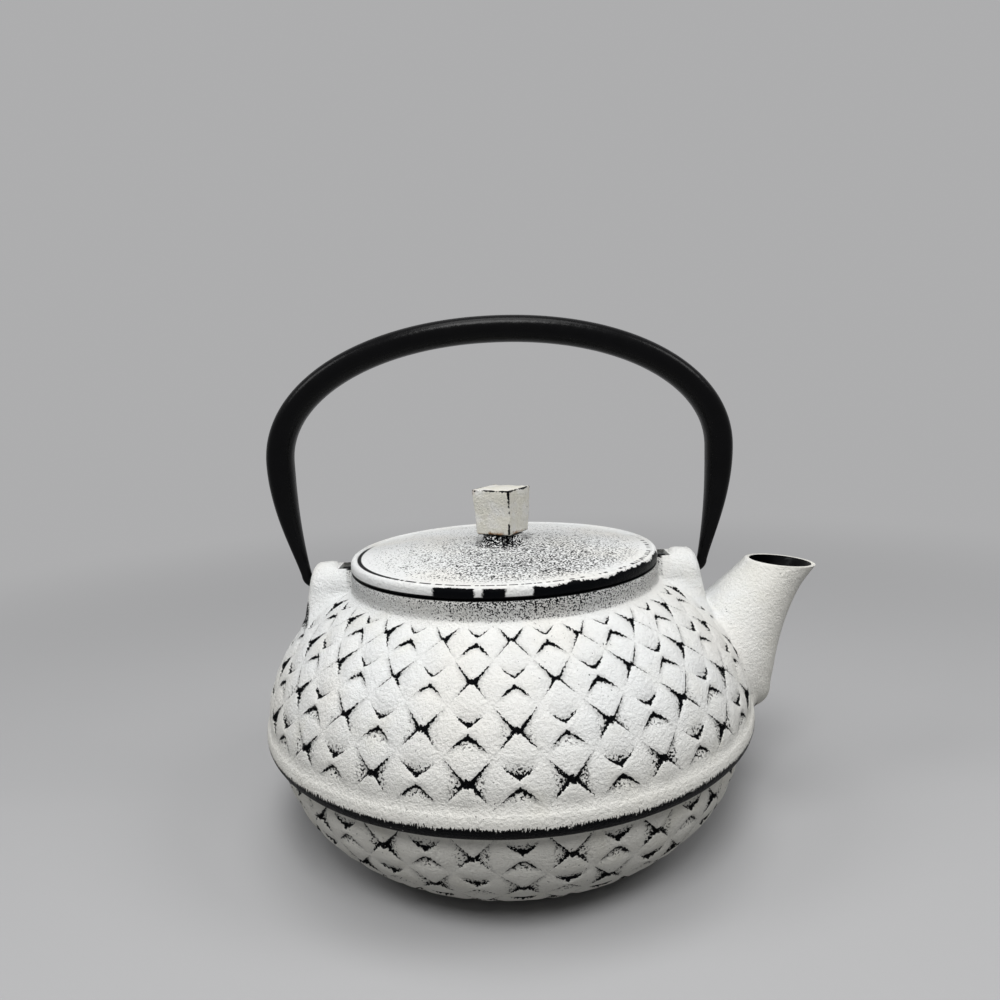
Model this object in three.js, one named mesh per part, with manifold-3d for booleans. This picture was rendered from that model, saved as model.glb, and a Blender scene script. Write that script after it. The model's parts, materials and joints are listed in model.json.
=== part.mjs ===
// Small cast-iron teapot: a round ridged pot with a woven diamond relief, a spout and two ears, an upright
// bail hooked into the ears, a lid with a square knob, and a strainer basket that hangs in the mouth.
// Millimetres. The origin is the centre of the flat base, +Z is up and the spout points along +X.
import * as THREE from 'three';
import { mergeVertices } from 'three/addons/utils/BufferGeometryUtils.js';
import Module from 'manifold-3d';

const wasm = await Module();
wasm.setup();

// Clearances
const SEAT_GAP = 0.3;
const HOOK_CLEARANCE = 0.45;
const EDGE_BREAK = 0.4;

// Pot: flat base, bowl, ridge, shoulder and collar
const WALL = 3.0;
const FLOOR_THICKNESS = 3.6;
const BASE_RADIUS = 40.0;
const BOWL_TOP_RADIUS = 60.5;
const BOWL_ROUNDNESS = 14.6;
const RIDGE_HEIGHT = 31.0;
const RIDGE_RADIUS = 63.9;
const RIDGE_DROP = 3.5;
const RIDGE_RISE = 3.0;
const BELLY_RADIUS = 62.9;
const SHOULDER_SPREAD_POWER = 1.25;
const SHOULDER_RISE_POWER = 1.9;
const COLLAR_RADIUS = 40.3;
const COLLAR_FILLET = 1.2;
const COLLAR_ROOT_HEIGHT = 64.4;
const COLLAR_HEIGHT = 5.1;
const THROAT_RADIUS = 34.4;
const MOUTH_RADIUS = 37.0;
const LEDGE_DEPTH = 2.9;
const FLOOR_CORNER = 2.5;

// Woven relief: columns round the pot, rows down its side, and how far the strips' tips stand over and
// under the skin where they cross; bridges are as wide as the tips that meet over a crossing
const RELIEF_COLUMNS = 38;
const RELIEF_PITCH = 9.76;
const RELIEF_FIRST_ROW = 5.0;
const RELIEF_OVER = 0.35;
const RELIEF_UNDER = 0.75;
const RELIEF_LEVEL_BRIDGE = 1.5;
const RELIEF_UPRIGHT_BRIDGE = 0.7;
const RELIEF_TURN = 0.019;

// Spout: each station has its rear and front edge in the XZ plane and its half width
const SPOUT_STATIONS = [
  { rear: [42.0, 42.0], front: [57.0, 24.0], halfWidth: 15.0 },
  { rear: [46.5, 49.5], front: [68.6, 28.6], halfWidth: 15.5 },
  { rear: [50.0, 53.6], front: [70.8, 35.5], halfWidth: 14.5 },
  { rear: [54.2, 57.4], front: [72.6, 43.5], halfWidth: 12.0 },
  { rear: [58.7, 61.3], front: [75.1, 51.6], halfWidth: 10.0 },
  { rear: [62.4, 64.5], front: [78.6, 59.2], halfWidth: 8.7 },
  { rear: [65.0, 67.0], front: [83.0, 65.1], halfWidth: 8.0 },
];
const SPOUT_ROOT_WALL = 4.6;
const SPOUT_LIP_WALL = 1.0;

// Ears that hold the bail
const EAR_INNER = 43.7;
const EAR_THICKNESS = 6.9;
const EAR_RISE = 1.4;
const EAR_CROWN_RADIUS = 6.8;
const EAR_ROOT_HALF_WIDTH = 10.0;
const EAR_ROOT_HEIGHT = 55.5;
const EAR_ROUNDING = 1.4;
const EAR_LEAN = 0.14;
const HINGE_DROP = 5.6;

// Bail: a bow of oval section whose ends are hooks
const BOW_HALF_WIDTH = 57.5;
const BOW_WIDEST_RISE = 32.2;
const BOW_RISE = 64.6;
const BOW_SQUARENESS = 2.08;
const BOW_THICKNESS = 6.8;
const BOW_WIDTH = 8.4;
const HOOK_DIAMETER = 2.6;
const HOOK_BEND = 2.2;
const HOOK_TIP_RISE = 4.0;
const LEG_FLARE = 1.6;
const BAIL_FOLD = 103;

// Lid
const LID_RADIUS = 40.2;
const LID_EDGE_HEIGHT = 1.5;
const LID_BEAD_RISE = 2.8;
const LID_CREASE_RADIUS = 38.2;
const LID_CREASE_DEPTH = 0.35;
const LID_DOME_RISE = 1.9;
const LID_PLATE = 3.2;
const LID_SKIRT_DEPTH = 5.3;
const LID_SKIRT_WALL = 2.6;
const BOSS_RADIUS = 5.2;
const BOSS_FOOT_RADIUS = 7.5;
const BOSS_RISE = 2.5;

// Knob and the screw that holds it
const KNOB_TOP_SIDE = 11.4;
const KNOB_FOOT_SIDE = 10.1;
const KNOB_HEIGHT = 11.9;
const KNOB_TURN = -31.9;
const KNOB_EDGE = 0.35;
const SCREW_DIAMETER = 4.0;
const SCREW_REACH = 7.0;
const SCREW_HOLE_DEPTH = 8.0;
const SCREW_HEAD_RADIUS = 4.0;
const SCREW_HEAD_HEIGHT = 1.8;
const SCREW_SLOT_WIDTH = 1.0;
const SCREW_SLOT_DEPTH = 0.8;
const WASHER_RADIUS = 5.6;
const WASHER_THICKNESS = 0.8;

// Strainer basket
const BASKET_HEIGHT = 37.0;
const BASKET_MESH = 0.5;
const BASKET_BAND = 0.6;
const BASKET_RIM_THICKNESS = 0.9;
const BASKET_BAND_HEIGHT = 6.0;
const BASKET_FOOT_HEIGHT = 3.6;
const BASKET_LIP = 3.8;

// Facets
const ROUND_STEPS = 48;
const LID_STEPS = 60;
const SMALL_STEPS = 20;
const OVERCUT = 2.0;

// Heights and radii that follow from the sizes above
const COLLAR_TOP = COLLAR_ROOT_HEIGHT + COLLAR_HEIGHT;
const EAR_TOP = COLLAR_TOP + EAR_RISE;
const HINGE_HEIGHT = EAR_TOP - HINGE_DROP;
const LEDGE_HEIGHT = COLLAR_TOP - LEDGE_DEPTH;
const LID_SEAT = COLLAR_TOP + SEAT_GAP;
const LID_UNDER = LID_SEAT + LID_EDGE_HEIGHT - LID_CREASE_DEPTH + LID_BEAD_RISE - LID_PLATE;
const LID_CREASE_HEIGHT = LID_SEAT + LID_BEAD_RISE - LID_CREASE_DEPTH;
const LID_CENTRE_HEIGHT = LID_CREASE_HEIGHT + LID_DOME_RISE;
const BOSS_TOP = LID_CENTRE_HEIGHT + BOSS_RISE;
const KNOB_FOOT = BOSS_TOP + SEAT_GAP;
const SCREW_RADIUS = SCREW_DIAMETER / 2;
const SCREW_HOLE_RADIUS = SCREW_RADIUS + SEAT_GAP;
const BASKET_RIM_BOTTOM = LEDGE_HEIGHT + SEAT_GAP;
const BAND_OUTER = THROAT_RADIUS - SEAT_GAP;
const BAND_INNER = BAND_OUTER - BASKET_BAND;
const MESH_OUTER = BAND_INNER - SEAT_GAP;
const MESH_INNER = MESH_OUTER - BASKET_MESH;
const SKIRT_OUTER = MESH_INNER - 2 * SEAT_GAP;
const BASKET_FOOT = BASKET_RIM_BOTTOM + BASKET_RIM_THICKNESS - BASKET_HEIGHT;
const HOOK_RADIUS = HOOK_DIAMETER / 2;
const EAR_HOLE_RADIUS = HOOK_RADIUS + HOOK_CLEARANCE;
const HOOK_TIP_X = EAR_INNER - HOOK_CLEARANCE - HOOK_RADIUS;
const EAR_OUTER = EAR_INNER + EAR_THICKNESS;
const HOOK_SHANK_X = EAR_OUTER + EAR_LEAN * (EAR_TOP - HINGE_HEIGHT) + HOOK_CLEARANCE + HOOK_RADIUS;

// Colours and finishes
const FINISHES = {
  paint: { color: 0xdedad0, roughness: 0.72, metalness: 0.0 },
  lidPaint: { color: 0xe2e1dc, roughness: 0.68, metalness: 0.0 },
  blackEnamel: { color: 0x0d0d0f, roughness: 0.32, metalness: 0.1 },
  steel: { color: 0xb9bcc0, roughness: 0.3, metalness: 1.0 },
};

// Joins shared corners and turns the faces outwards, so that the mesh is a closed solid
function closedGeometry(geometry) {
  const plain = geometry.clone();
  plain.deleteAttribute('normal');
  plain.deleteAttribute('uv');
  const merged = mergeVertices(plain, 1e-4);
  const position = merged.getAttribute('position');
  const corners = [];
  for (let i = 0; i < merged.index.count; i += 3) {
    const triangle = [merged.index.getX(i), merged.index.getX(i + 1), merged.index.getX(i + 2)];
    if (new Set(triangle).size === 3) corners.push(triangle);
  }
  const a = new THREE.Vector3();
  const b = new THREE.Vector3();
  const c = new THREE.Vector3();
  let volume = 0;
  for (const [p, q, r] of corners) {
    a.fromBufferAttribute(position, p);
    b.fromBufferAttribute(position, q);
    c.fromBufferAttribute(position, r);
    volume += a.dot(b.cross(c));
  }
  const index = volume > 0 ? corners.flat() : corners.flatMap(([p, q, r]) => [p, r, q]);
  merged.setIndex(index);
  return merged;
}

function solid(geometry) {
  const closed = closedGeometry(geometry);
  const mesh = new wasm.Mesh({
    numProp: 3,
    vertProperties: new Float32Array(closed.getAttribute('position').array),
    triVerts: new Uint32Array(closed.index.array),
  });
  return new wasm.Manifold(mesh);
}

function geometryOf(body) {
  const mesh = body.getMesh();
  const geometry = new THREE.BufferGeometry();
  geometry.setAttribute('position', new THREE.BufferAttribute(new Float32Array(mesh.vertProperties), 3));
  geometry.setIndex(new THREE.BufferAttribute(new Uint32Array(mesh.triVerts), 1));
  return geometry;
}

// Turns a closed outline of [radius, height] points about the Z axis
function turned(outline, steps = ROUND_STEPS) {
  const points = outline.map(([radius, height]) => new THREE.Vector2(radius, height));
  return new THREE.LatheGeometry(points, steps).rotateX(Math.PI / 2);
}

// Turns an outline that doesn't touch the axis, so its last point meets its first
function turnedRing(outline, steps = ROUND_STEPS) {
  return turned([...outline, outline[0]], steps);
}

// Bends a unit cylinder along stations: place(t, angle) gives the skin at t from 0 to 1 along it
function bentTube(place, sides, steps) {
  const tube = new THREE.CylinderGeometry(1, 1, 1, sides, steps);
  const position = tube.getAttribute('position');
  const centre = new THREE.Vector3();
  for (let i = 0; i < position.count; i += 1) {
    const x = position.getX(i);
    const z = position.getZ(i);
    const t = position.getY(i) + 0.5;
    const reach = Math.hypot(x, z);
    const skin = place(t, Math.atan2(z, x));
    if (reach < 0.5) {
      centre.copy(place(t, 0)).add(place(t, Math.PI)).multiplyScalar(0.5);
      skin.copy(centre);
    }
    position.setXYZ(i, skin.x, skin.y, skin.z);
  }
  return tube;
}

// Side of the bowl below the ridge: an ellipse's arc from the flat base up to the ridge's root
class BowlCurve extends THREE.Curve {
  getPoint(t, target = new THREE.Vector2()) {
    const top = RIDGE_HEIGHT - RIDGE_DROP;
    const spread = BOWL_TOP_RADIUS - BOWL_ROUNDNESS;
    const baseAngle = Math.acos((BASE_RADIUS - BOWL_ROUNDNESS) / spread);
    const angle = baseAngle * (1 - t);
    const height = top / Math.sin(baseAngle);
    return target.set(BOWL_ROUNDNESS + spread * Math.cos(angle), top - height * Math.sin(angle));
  }
}

// Side of the pot above the ridge, up to the root of the collar
class ShoulderCurve extends THREE.Curve {
  getPoint(t, target = new THREE.Vector2()) {
    const bottom = RIDGE_HEIGHT + RIDGE_RISE;
    const angle = (t * Math.PI) / 2;
    const rise = Math.sin(angle) ** (2 / SHOULDER_RISE_POWER);
    const spread = Math.cos(angle) ** (2 / SHOULDER_SPREAD_POWER);
    return target.set(
      COLLAR_RADIUS + (BELLY_RADIUS - COLLAR_RADIUS) * spread,
      bottom + (COLLAR_ROOT_HEIGHT - bottom) * rise,
    );
  }
}

// Bead of the ridge: a quarter of an ellipse from the bowl out to its crest, and a slighter one to the belly
function ridgeBead() {
  return [-90, -60, -30, 0, 45, 90].map((degrees) => {
    const angle = THREE.MathUtils.degToRad(degrees);
    const root = degrees < 0 ? BOWL_TOP_RADIUS : BELLY_RADIUS;
    const height = degrees < 0 ? RIDGE_DROP : RIDGE_RISE;
    return [root + (RIDGE_RADIUS - root) * Math.cos(angle), RIDGE_HEIGHT + height * Math.sin(angle)];
  });
}

// Rings at even steps of half a relief row along a side curve, from its top down; the weave's crossings
// lie on every other ring, and phase tells which of them the first ring starts with
function reliefRings(curve, first, phase, lastStrength) {
  const length = curve.getLength();
  const step = RELIEF_PITCH / 2;
  const count = Math.floor((length - first) / step) + 1;
  const rings = [];
  for (let row = 0; row < count; row += 1) {
    const along = 1 - (first + row * step) / length;
    const strength = row === count - 1 ? lastStrength : 1;
    const crossing = row % 2 === 0 && strength > 0;
    const tangent = curve.getTangentAt(along);
    rings.push({ point: curve.getPointAt(along), tangent, crossing, phase: phase + row / 2, strength });
  }
  return rings.reverse();
}

// Outer skin of the pot before its spout and ears. Each place on a ring is one point, apart from the
// crossings on every other column. There two tips of the strips meet in a bridge over the skin, and the
// tips across them end under it, so a crossing has four points: two over and two under.
function potSkin() {
  const plain = ([radius, height]) => ({ point: new THREE.Vector2(radius, height), crossing: false });
  const rings = [
    plain([BASE_RADIUS, 0]),
    ...reliefRings(new BowlCurve(), RELIEF_PITCH / 2, 0, 0.5),
    ...ridgeBead().map(plain),
    ...reliefRings(new ShoulderCurve(), RELIEF_FIRST_ROW, 1, 0),
    plain([COLLAR_RADIUS + COLLAR_FILLET, COLLAR_ROOT_HEIGHT - COLLAR_FILLET / 3]),
    plain([COLLAR_RADIUS + COLLAR_FILLET / 6, COLLAR_ROOT_HEIGHT + COLLAR_FILLET * 0.7]),
    plain([COLLAR_RADIUS, COLLAR_TOP - EDGE_BREAK]),
    plain([COLLAR_RADIUS - EDGE_BREAK, COLLAR_TOP]),
  ];
  const places = RELIEF_COLUMNS * 2;
  const points = [];
  const triangles = [];
  const pointAt = (ring, place, around = 0, along = 0, out = 0) => {
    const { point, tangent = { x: 0, y: 0 } } = ring;
    const radius = point.x + tangent.x * along + tangent.y * out;
    const turn = RELIEF_TURN + (place * 2 * Math.PI) / places + around / point.x;
    const height = point.y + tangent.y * along - tangent.x * out;
    points.push(radius * Math.sin(turn), -radius * Math.cos(turn), height);
    return points.length / 3 - 1;
  };
  // Level: the tips to the left and right lie over, and the ones above and below under them
  const crossingAt = (ring, place) => {
    const over = RELIEF_OVER * ring.strength;
    const under = -RELIEF_UNDER * ring.strength;
    const level = (place / 2 + ring.phase) % 2 === 0;
    const half = (level ? RELIEF_LEVEL_BRIDGE : RELIEF_UPRIGHT_BRIDGE) / 2;
    const pair = (out) => [-half, half].map((shift) => (
      level ? pointAt(ring, place, 0, shift, out) : pointAt(ring, place, shift, 0, out)
    ));
    return { level, over: pair(over), under: pair(under) };
  };
  const grid = rings.map((ring) => Array.from({ length: places }, (_, place) => (
    ring.crossing && place % 2 === 0 ? crossingAt(ring, place) : pointAt(ring, place)
  )));

  // A quarter round a crossing, to its right or left and above or below it: half of a level tip, half
  // of an upright one, and the step between the two, which fades out at the strips' far corner
  const quarter = ({ level, over, under }, beside, far, beyond, right, above) => {
    const side = level ? Number(above) : Number(right);
    const uprightTip = level ? under[side] : over[side];
    const levelTip = level ? over[side] : under[side];
    const faces = [[uprightTip, far, beyond], [levelTip, beside, far], [far, uprightTip, levelTip]];
    for (const [a, b, c] of faces) triangles.push(right === above ? [a, b, c] : [a, c, b]);
  };
  for (let j = 0; j < rings.length - 1; j += 1) {
    for (let place = 0; place < places; place += 1) {
      const next = (place + 1) % places;
      const above = rings[j].crossing;
      const right = place % 2 === 0;
      if (above || rings[j + 1].crossing) {
        const [near, other] = above ? [grid[j], grid[j + 1]] : [grid[j + 1], grid[j]];
        const [own, beside] = right ? [place, next] : [next, place];
        quarter(near[own], near[beside], other[beside], other[own], right, above);
      } else {
        triangles.push([grid[j][place], grid[j][next], grid[j + 1][next]]);
        triangles.push([grid[j][place], grid[j + 1][next], grid[j + 1][place]]);
      }
    }
  }

  // The bridges' own faces, between the halves of the two tips that meet there
  for (let j = 1; j < rings.length - 1; j += 1) {
    if (!rings[j].crossing) continue;
    for (let place = 0; place < places; place += 2) {
      const { level, over: [low, high] } = grid[j][place];
      if (level) {
        triangles.push([grid[j][place + 1], high, low], [grid[j][(place + places - 1) % places], low, high]);
      } else {
        triangles.push([high, grid[j + 1][place], low], [low, grid[j - 1][place], high]);
      }
    }
  }
  const top = rings.length - 1;
  const baseCentre = points.push(0, 0, 0) / 3 - 1;
  const topCentre = points.push(0, 0, COLLAR_TOP) / 3 - 1;
  for (let place = 0; place < places; place += 1) {
    const next = (place + 1) % places;
    triangles.push([baseCentre, grid[0][next], grid[0][place]]);
    triangles.push([topCentre, grid[top][place], grid[top][next]]);
  }
  const skin = new THREE.BufferGeometry();
  skin.setAttribute('position', new THREE.Float32BufferAttribute(points, 3));
  skin.setIndex(triangles.flat());
  return skin;
}

// Points of a side curve moved inwards by the wall
function innerSide(curve, from, to, count) {
  const points = [];
  for (let i = 0; i <= count; i += 1) {
    const along = from + ((to - from) * i) / count;
    const point = curve.getPointAt(along);
    const tangent = curve.getTangentAt(along);
    points.push([point.x - tangent.y * WALL, point.y + tangent.x * WALL]);
  }
  return points;
}

function cavity() {
  const lowest = FLOOR_THICKNESS + EDGE_BREAK;
  const bowl = innerSide(new BowlCurve(), 0.1, 1, 5).filter(([, height]) => height > lowest);
  const widest = THROAT_RADIUS + EDGE_BREAK;
  const shoulder = innerSide(new ShoulderCurve(), 0, 0.9, 6).filter(([radius]) => radius > widest);
  const outline = [
    [0, FLOOR_THICKNESS],
    [bowl[0][0] - FLOOR_CORNER, FLOOR_THICKNESS],
    ...bowl,
    ...shoulder,
    [THROAT_RADIUS, shoulder[shoulder.length - 1][1] + EDGE_BREAK],
    [THROAT_RADIUS, LEDGE_HEIGHT],
    [MOUTH_RADIUS, LEDGE_HEIGHT],
    [MOUTH_RADIUS, COLLAR_TOP + OVERCUT],
    [0, COLLAR_TOP + OVERCUT],
  ];
  return turned(outline);
}

// The spout, or its bore where a wall is taken off; an overrun adds one more ring that far past the lip
function spoutTube(wallAt, sides, steps, overrun) {
  const rears = SPOUT_STATIONS.map(({ rear: [x, z], halfWidth }) => new THREE.Vector3(x, halfWidth, z));
  const fronts = SPOUT_STATIONS.map(({ front: [x, z], halfWidth }) => new THREE.Vector3(x, halfWidth, z));
  const rearLine = new THREE.CatmullRomCurve3(rears);
  const frontLine = new THREE.CatmullRomCurve3(fronts);
  const rings = overrun > 0 ? steps + 1 : steps;
  const place = (t, angle) => {
    const ring = Math.round(t * rings);
    const along = Math.min(ring / steps, 1);
    const rear = rearLine.getPoint(along);
    const front = frontLine.getPoint(along);
    const half = front.clone().sub(rear).multiplyScalar(0.5).setY(0);
    const centre = rear.clone().add(front).multiplyScalar(0.5).setY(0);
    const outward = new THREE.Vector3(-half.z, 0, half.x).normalize();
    if (ring > steps) centre.addScaledVector(outward, overrun);
    const wall = wallAt(along);
    const reach = half.length();
    half.multiplyScalar((reach - wall) / reach);
    const side = rear.y - wall;
    return new THREE.Vector3(
      centre.x + half.x * Math.cos(angle),
      side * Math.sin(angle),
      centre.z + half.z * Math.cos(angle),
    );
  };
  return bentTube(place, sides, rings);
}

function spoutBody() {
  return spoutTube(() => 0, 28, 10, 0);
}

function spoutBore() {
  return spoutTube((along) => THREE.MathUtils.lerp(SPOUT_ROOT_WALL, SPOUT_LIP_WALL, along), 20, 8, OVERCUT);
}

// One ear: an arched plate across the X axis whose outer face leans out towards its root
function earGeometry(side) {
  const crown = EAR_TOP - EAR_CROWN_RADIUS;
  const inset = EAR_ROUNDING;
  const arch = new THREE.Shape();
  arch.moveTo(-EAR_ROOT_HALF_WIDTH + inset, EAR_ROOT_HEIGHT);
  arch.lineTo(EAR_ROOT_HALF_WIDTH - inset, EAR_ROOT_HEIGHT);
  arch.lineTo(EAR_CROWN_RADIUS - inset, crown);
  arch.absarc(0, crown, EAR_CROWN_RADIUS - inset, 0, Math.PI);
  arch.closePath();
  const plate = new THREE.ExtrudeGeometry(arch, {
    depth: EAR_THICKNESS - 2 * inset,
    bevelThickness: inset,
    bevelSize: inset,
    bevelSegments: 3,
    curveSegments: 10,
  });
  const position = plate.getAttribute('position');
  for (let i = 0; i < position.count; i += 1) {
    const y = position.getX(i);
    const z = position.getY(i);
    const depth = position.getZ(i) + inset;
    const lean = (depth / EAR_THICKNESS) * EAR_LEAN * (EAR_TOP - z);
    position.setXYZ(i, side * (EAR_INNER + depth + lean), y, z);
  }
  return plate;
}

// A round bar along X between two places, on the hinge axis
function hingeBar(radius, from, to) {
  return new THREE.CylinderGeometry(radius, radius, Math.abs(to - from), SMALL_STEPS)
    .rotateZ(Math.PI / 2)
    .translate((from + to) / 2, 0, HINGE_HEIGHT);
}

// Where the holes and recesses behind the ears end: just off the collar's skin
const RECESS_END = COLLAR_RADIUS + SEAT_GAP / 3;

// Room behind an ear for the hook's tip, as deep as the tip dips when the bail is folded down
function tipRoom(side) {
  const reach = HOOK_TIP_RISE + HOOK_RADIUS + HOOK_CLEARANCE;
  const dip = HOOK_RADIUS + HOOK_CLEARANCE - HOOK_TIP_RISE * Math.cos(THREE.MathUtils.degToRad(BAIL_FOLD));
  const disc = hingeBar(reach, side * RECESS_END, side * EAR_INNER);
  const block = new THREE.BoxGeometry(EAR_INNER * 4, reach * 4, dip + reach * 2)
    .translate(0, 0, HINGE_HEIGHT + reach - dip / 2);
  return solid(disc).intersect(solid(block));
}

function potGeometry() {
  let body = solid(potSkin()).add(solid(spoutBody()));
  for (const side of [-1, 1]) {
    body = body.add(solid(earGeometry(side)));
  }
  body = body.subtract(solid(cavity())).subtract(solid(spoutBore()));
  for (const side of [-1, 1]) {
    const outside = side * (HOOK_SHANK_X + OVERCUT);
    body = body.subtract(solid(hingeBar(EAR_HOLE_RADIUS, side * RECESS_END, outside)));
    body = body.subtract(tipRoom(side));
  }
  return geometryOf(body);
}

// Centre line of half the bow, from its crown down to the hook's tip behind the ear
function bailHalf() {
  const line = [];
  const bowSteps = 10;
  const top = BOW_RISE - BOW_WIDEST_RISE;
  for (let i = 0; i <= bowSteps; i += 1) {
    const angle = (Math.PI / 2) * (1 - i / bowSteps);
    line.push([
      BOW_HALF_WIDTH * Math.cos(angle) ** (2 / BOW_SQUARENESS),
      HINGE_HEIGHT + BOW_WIDEST_RISE + top * Math.sin(angle) ** (2 / BOW_SQUARENESS),
    ]);
  }
  const leg = new THREE.CubicBezierCurve(
    new THREE.Vector2(BOW_HALF_WIDTH, HINGE_HEIGHT + BOW_WIDEST_RISE),
    new THREE.Vector2(BOW_HALF_WIDTH, HINGE_HEIGHT + BOW_WIDEST_RISE * 0.6),
    new THREE.Vector2(HOOK_SHANK_X + LEG_FLARE, HINGE_HEIGHT + BOW_WIDEST_RISE * 0.3),
    new THREE.Vector2(HOOK_SHANK_X, HINGE_HEIGHT + HOOK_BEND),
  );
  for (const point of leg.getPoints(6).slice(1)) line.push([point.x, point.y]);
  const bendX = HOOK_SHANK_X - HOOK_BEND;
  for (const angle of [-30, -60, -90]) {
    const turn = THREE.MathUtils.degToRad(angle);
    line.push([bendX + HOOK_BEND * Math.cos(turn), HINGE_HEIGHT + HOOK_BEND + HOOK_BEND * Math.sin(turn)]);
  }
  const tipBend = HOOK_RADIUS;
  line.push([HOOK_TIP_X + tipBend, HINGE_HEIGHT]);
  line.push([HOOK_TIP_X + tipBend * 0.3, HINGE_HEIGHT + tipBend * 0.3]);
  line.push([HOOK_TIP_X, HINGE_HEIGHT + tipBend]);
  line.push([HOOK_TIP_X, HINGE_HEIGHT + HOOK_TIP_RISE]);
  return line;
}

function bailGeometry() {
  const half = bailHalf();
  const left = half.slice(1).reverse().map(([x, z]) => [-x, z]);
  const line = [...left, ...half].map(([x, z]) => new THREE.Vector3(x, 0, z));
  const last = line.length - 1;
  const tangentAt = (i) => {
    const before = line[Math.max(i - 1, 0)];
    const after = line[Math.min(i + 1, last)];
    return after.clone().sub(before).normalize();
  };
  const place = (t, angle) => {
    const i = Math.round(t * last);
    const tangent = tangentAt(i);
    const rise = (line[i].z - HINGE_HEIGHT - HOOK_BEND) / (BOW_WIDEST_RISE - HOOK_BEND);
    const swell = THREE.MathUtils.smoothstep(rise, 0, 1) ** 0.7;
    const thick = THREE.MathUtils.lerp(HOOK_RADIUS, BOW_THICKNESS / 2, swell);
    const wide = THREE.MathUtils.lerp(HOOK_RADIUS, BOW_WIDTH / 2, swell);
    return new THREE.Vector3(
      line[i].x - tangent.z * thick * Math.cos(angle),
      wide * Math.sin(angle),
      line[i].z + tangent.x * thick * Math.cos(angle),
    );
  };
  return closedGeometry(bentTube(place, 12, last));
}

function lidGeometry() {
  const edge = LID_SEAT + LID_EDGE_HEIGHT;
  const bead = LID_RADIUS - LID_CREASE_RADIUS;
  const beadTop = LID_SEAT + LID_BEAD_RISE;
  const dome = (radius) => [radius, LID_CENTRE_HEIGHT - LID_DOME_RISE * (radius / LID_CREASE_RADIUS) ** 2];
  const outline = [
    [SCREW_HOLE_RADIUS, LID_UNDER],
    [SKIRT_OUTER - LID_SKIRT_WALL, LID_UNDER],
    [SKIRT_OUTER - LID_SKIRT_WALL, LID_SEAT - LID_SKIRT_DEPTH],
    [SKIRT_OUTER, LID_SEAT - LID_SKIRT_DEPTH],
    [SKIRT_OUTER, LID_SEAT],
    [LID_RADIUS - EDGE_BREAK, LID_SEAT],
    [LID_RADIUS, LID_SEAT + EDGE_BREAK],
    [LID_RADIUS, edge - EDGE_BREAK],
    [LID_RADIUS - bead * 0.15, edge + (beadTop - edge) * 0.6],
    [LID_RADIUS - bead * 0.5, beadTop],
    [LID_RADIUS - bead * 0.85, beadTop - LID_CREASE_DEPTH * 0.3],
    [LID_CREASE_RADIUS, LID_CREASE_HEIGHT],
    [LID_CREASE_RADIUS - LID_CREASE_DEPTH * 2, LID_CREASE_HEIGHT + LID_CREASE_DEPTH * 0.8],
    ...[0.75, 0.5, 0.3].map((share) => dome(LID_CREASE_RADIUS * share)),
    dome(BOSS_FOOT_RADIUS),
    [(BOSS_FOOT_RADIUS + BOSS_RADIUS * 3) / 4, LID_CENTRE_HEIGHT + BOSS_RISE * 0.35],
    [BOSS_RADIUS, LID_CENTRE_HEIGHT + BOSS_RISE * 0.75],
    [BOSS_RADIUS, BOSS_TOP],
    [SCREW_HOLE_RADIUS, BOSS_TOP],
  ];
  return closedGeometry(turnedRing(outline, LID_STEPS));
}

// Square block, wider at its top, with blunted edges and a blind hole for the screw
function knobGeometry() {
  const diagonal = Math.SQRT1_2;
  const square = (side, cut) => {
    const half = side / 2;
    const inner = half - cut;
    return [[half, inner], [inner, half], [-inner, half], [-half, inner],
      [-half, -inner], [-inner, -half], [inner, -half], [half, -inner]];
  };
  const layers = [
    { side: KNOB_FOOT_SIDE - 2 * KNOB_EDGE, height: 0 },
    { side: KNOB_FOOT_SIDE, height: KNOB_EDGE },
    { side: KNOB_TOP_SIDE, height: KNOB_HEIGHT - KNOB_EDGE },
    { side: KNOB_TOP_SIDE - 2 * KNOB_EDGE, height: KNOB_HEIGHT },
  ];
  const block = new THREE.CylinderGeometry(1, 1, 1, 8, layers.length - 1);
  const position = block.getAttribute('position');
  for (let i = 0; i < position.count; i += 1) {
    const x = position.getX(i);
    const z = position.getZ(i);
    const layer = layers[Math.round((position.getY(i) + 0.5) * (layers.length - 1))];
    const corner = Math.round((Math.atan2(z, x) / (Math.PI / 4)) + 8) % 8;
    const [px, py] = Math.hypot(x, z) < diagonal ? [0, 0] : square(layer.side, KNOB_EDGE)[corner];
    position.setXYZ(i, px, py, layer.height);
  }
  const depth = SCREW_HOLE_DEPTH + OVERCUT;
  const hole = new THREE.CylinderGeometry(SCREW_HOLE_RADIUS, SCREW_HOLE_RADIUS, depth, SMALL_STEPS)
    .rotateX(Math.PI / 2)
    .translate(0, 0, SCREW_HOLE_DEPTH - depth / 2);
  return geometryOf(solid(block).subtract(solid(hole)));
}

function washerGeometry() {
  const top = LID_UNDER - SEAT_GAP;
  const bottom = top - WASHER_THICKNESS;
  return closedGeometry(turnedRing([
    [SCREW_HOLE_RADIUS, bottom],
    [WASHER_RADIUS, bottom],
    [WASHER_RADIUS, top],
    [SCREW_HOLE_RADIUS, top],
  ], SMALL_STEPS));
}

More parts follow.
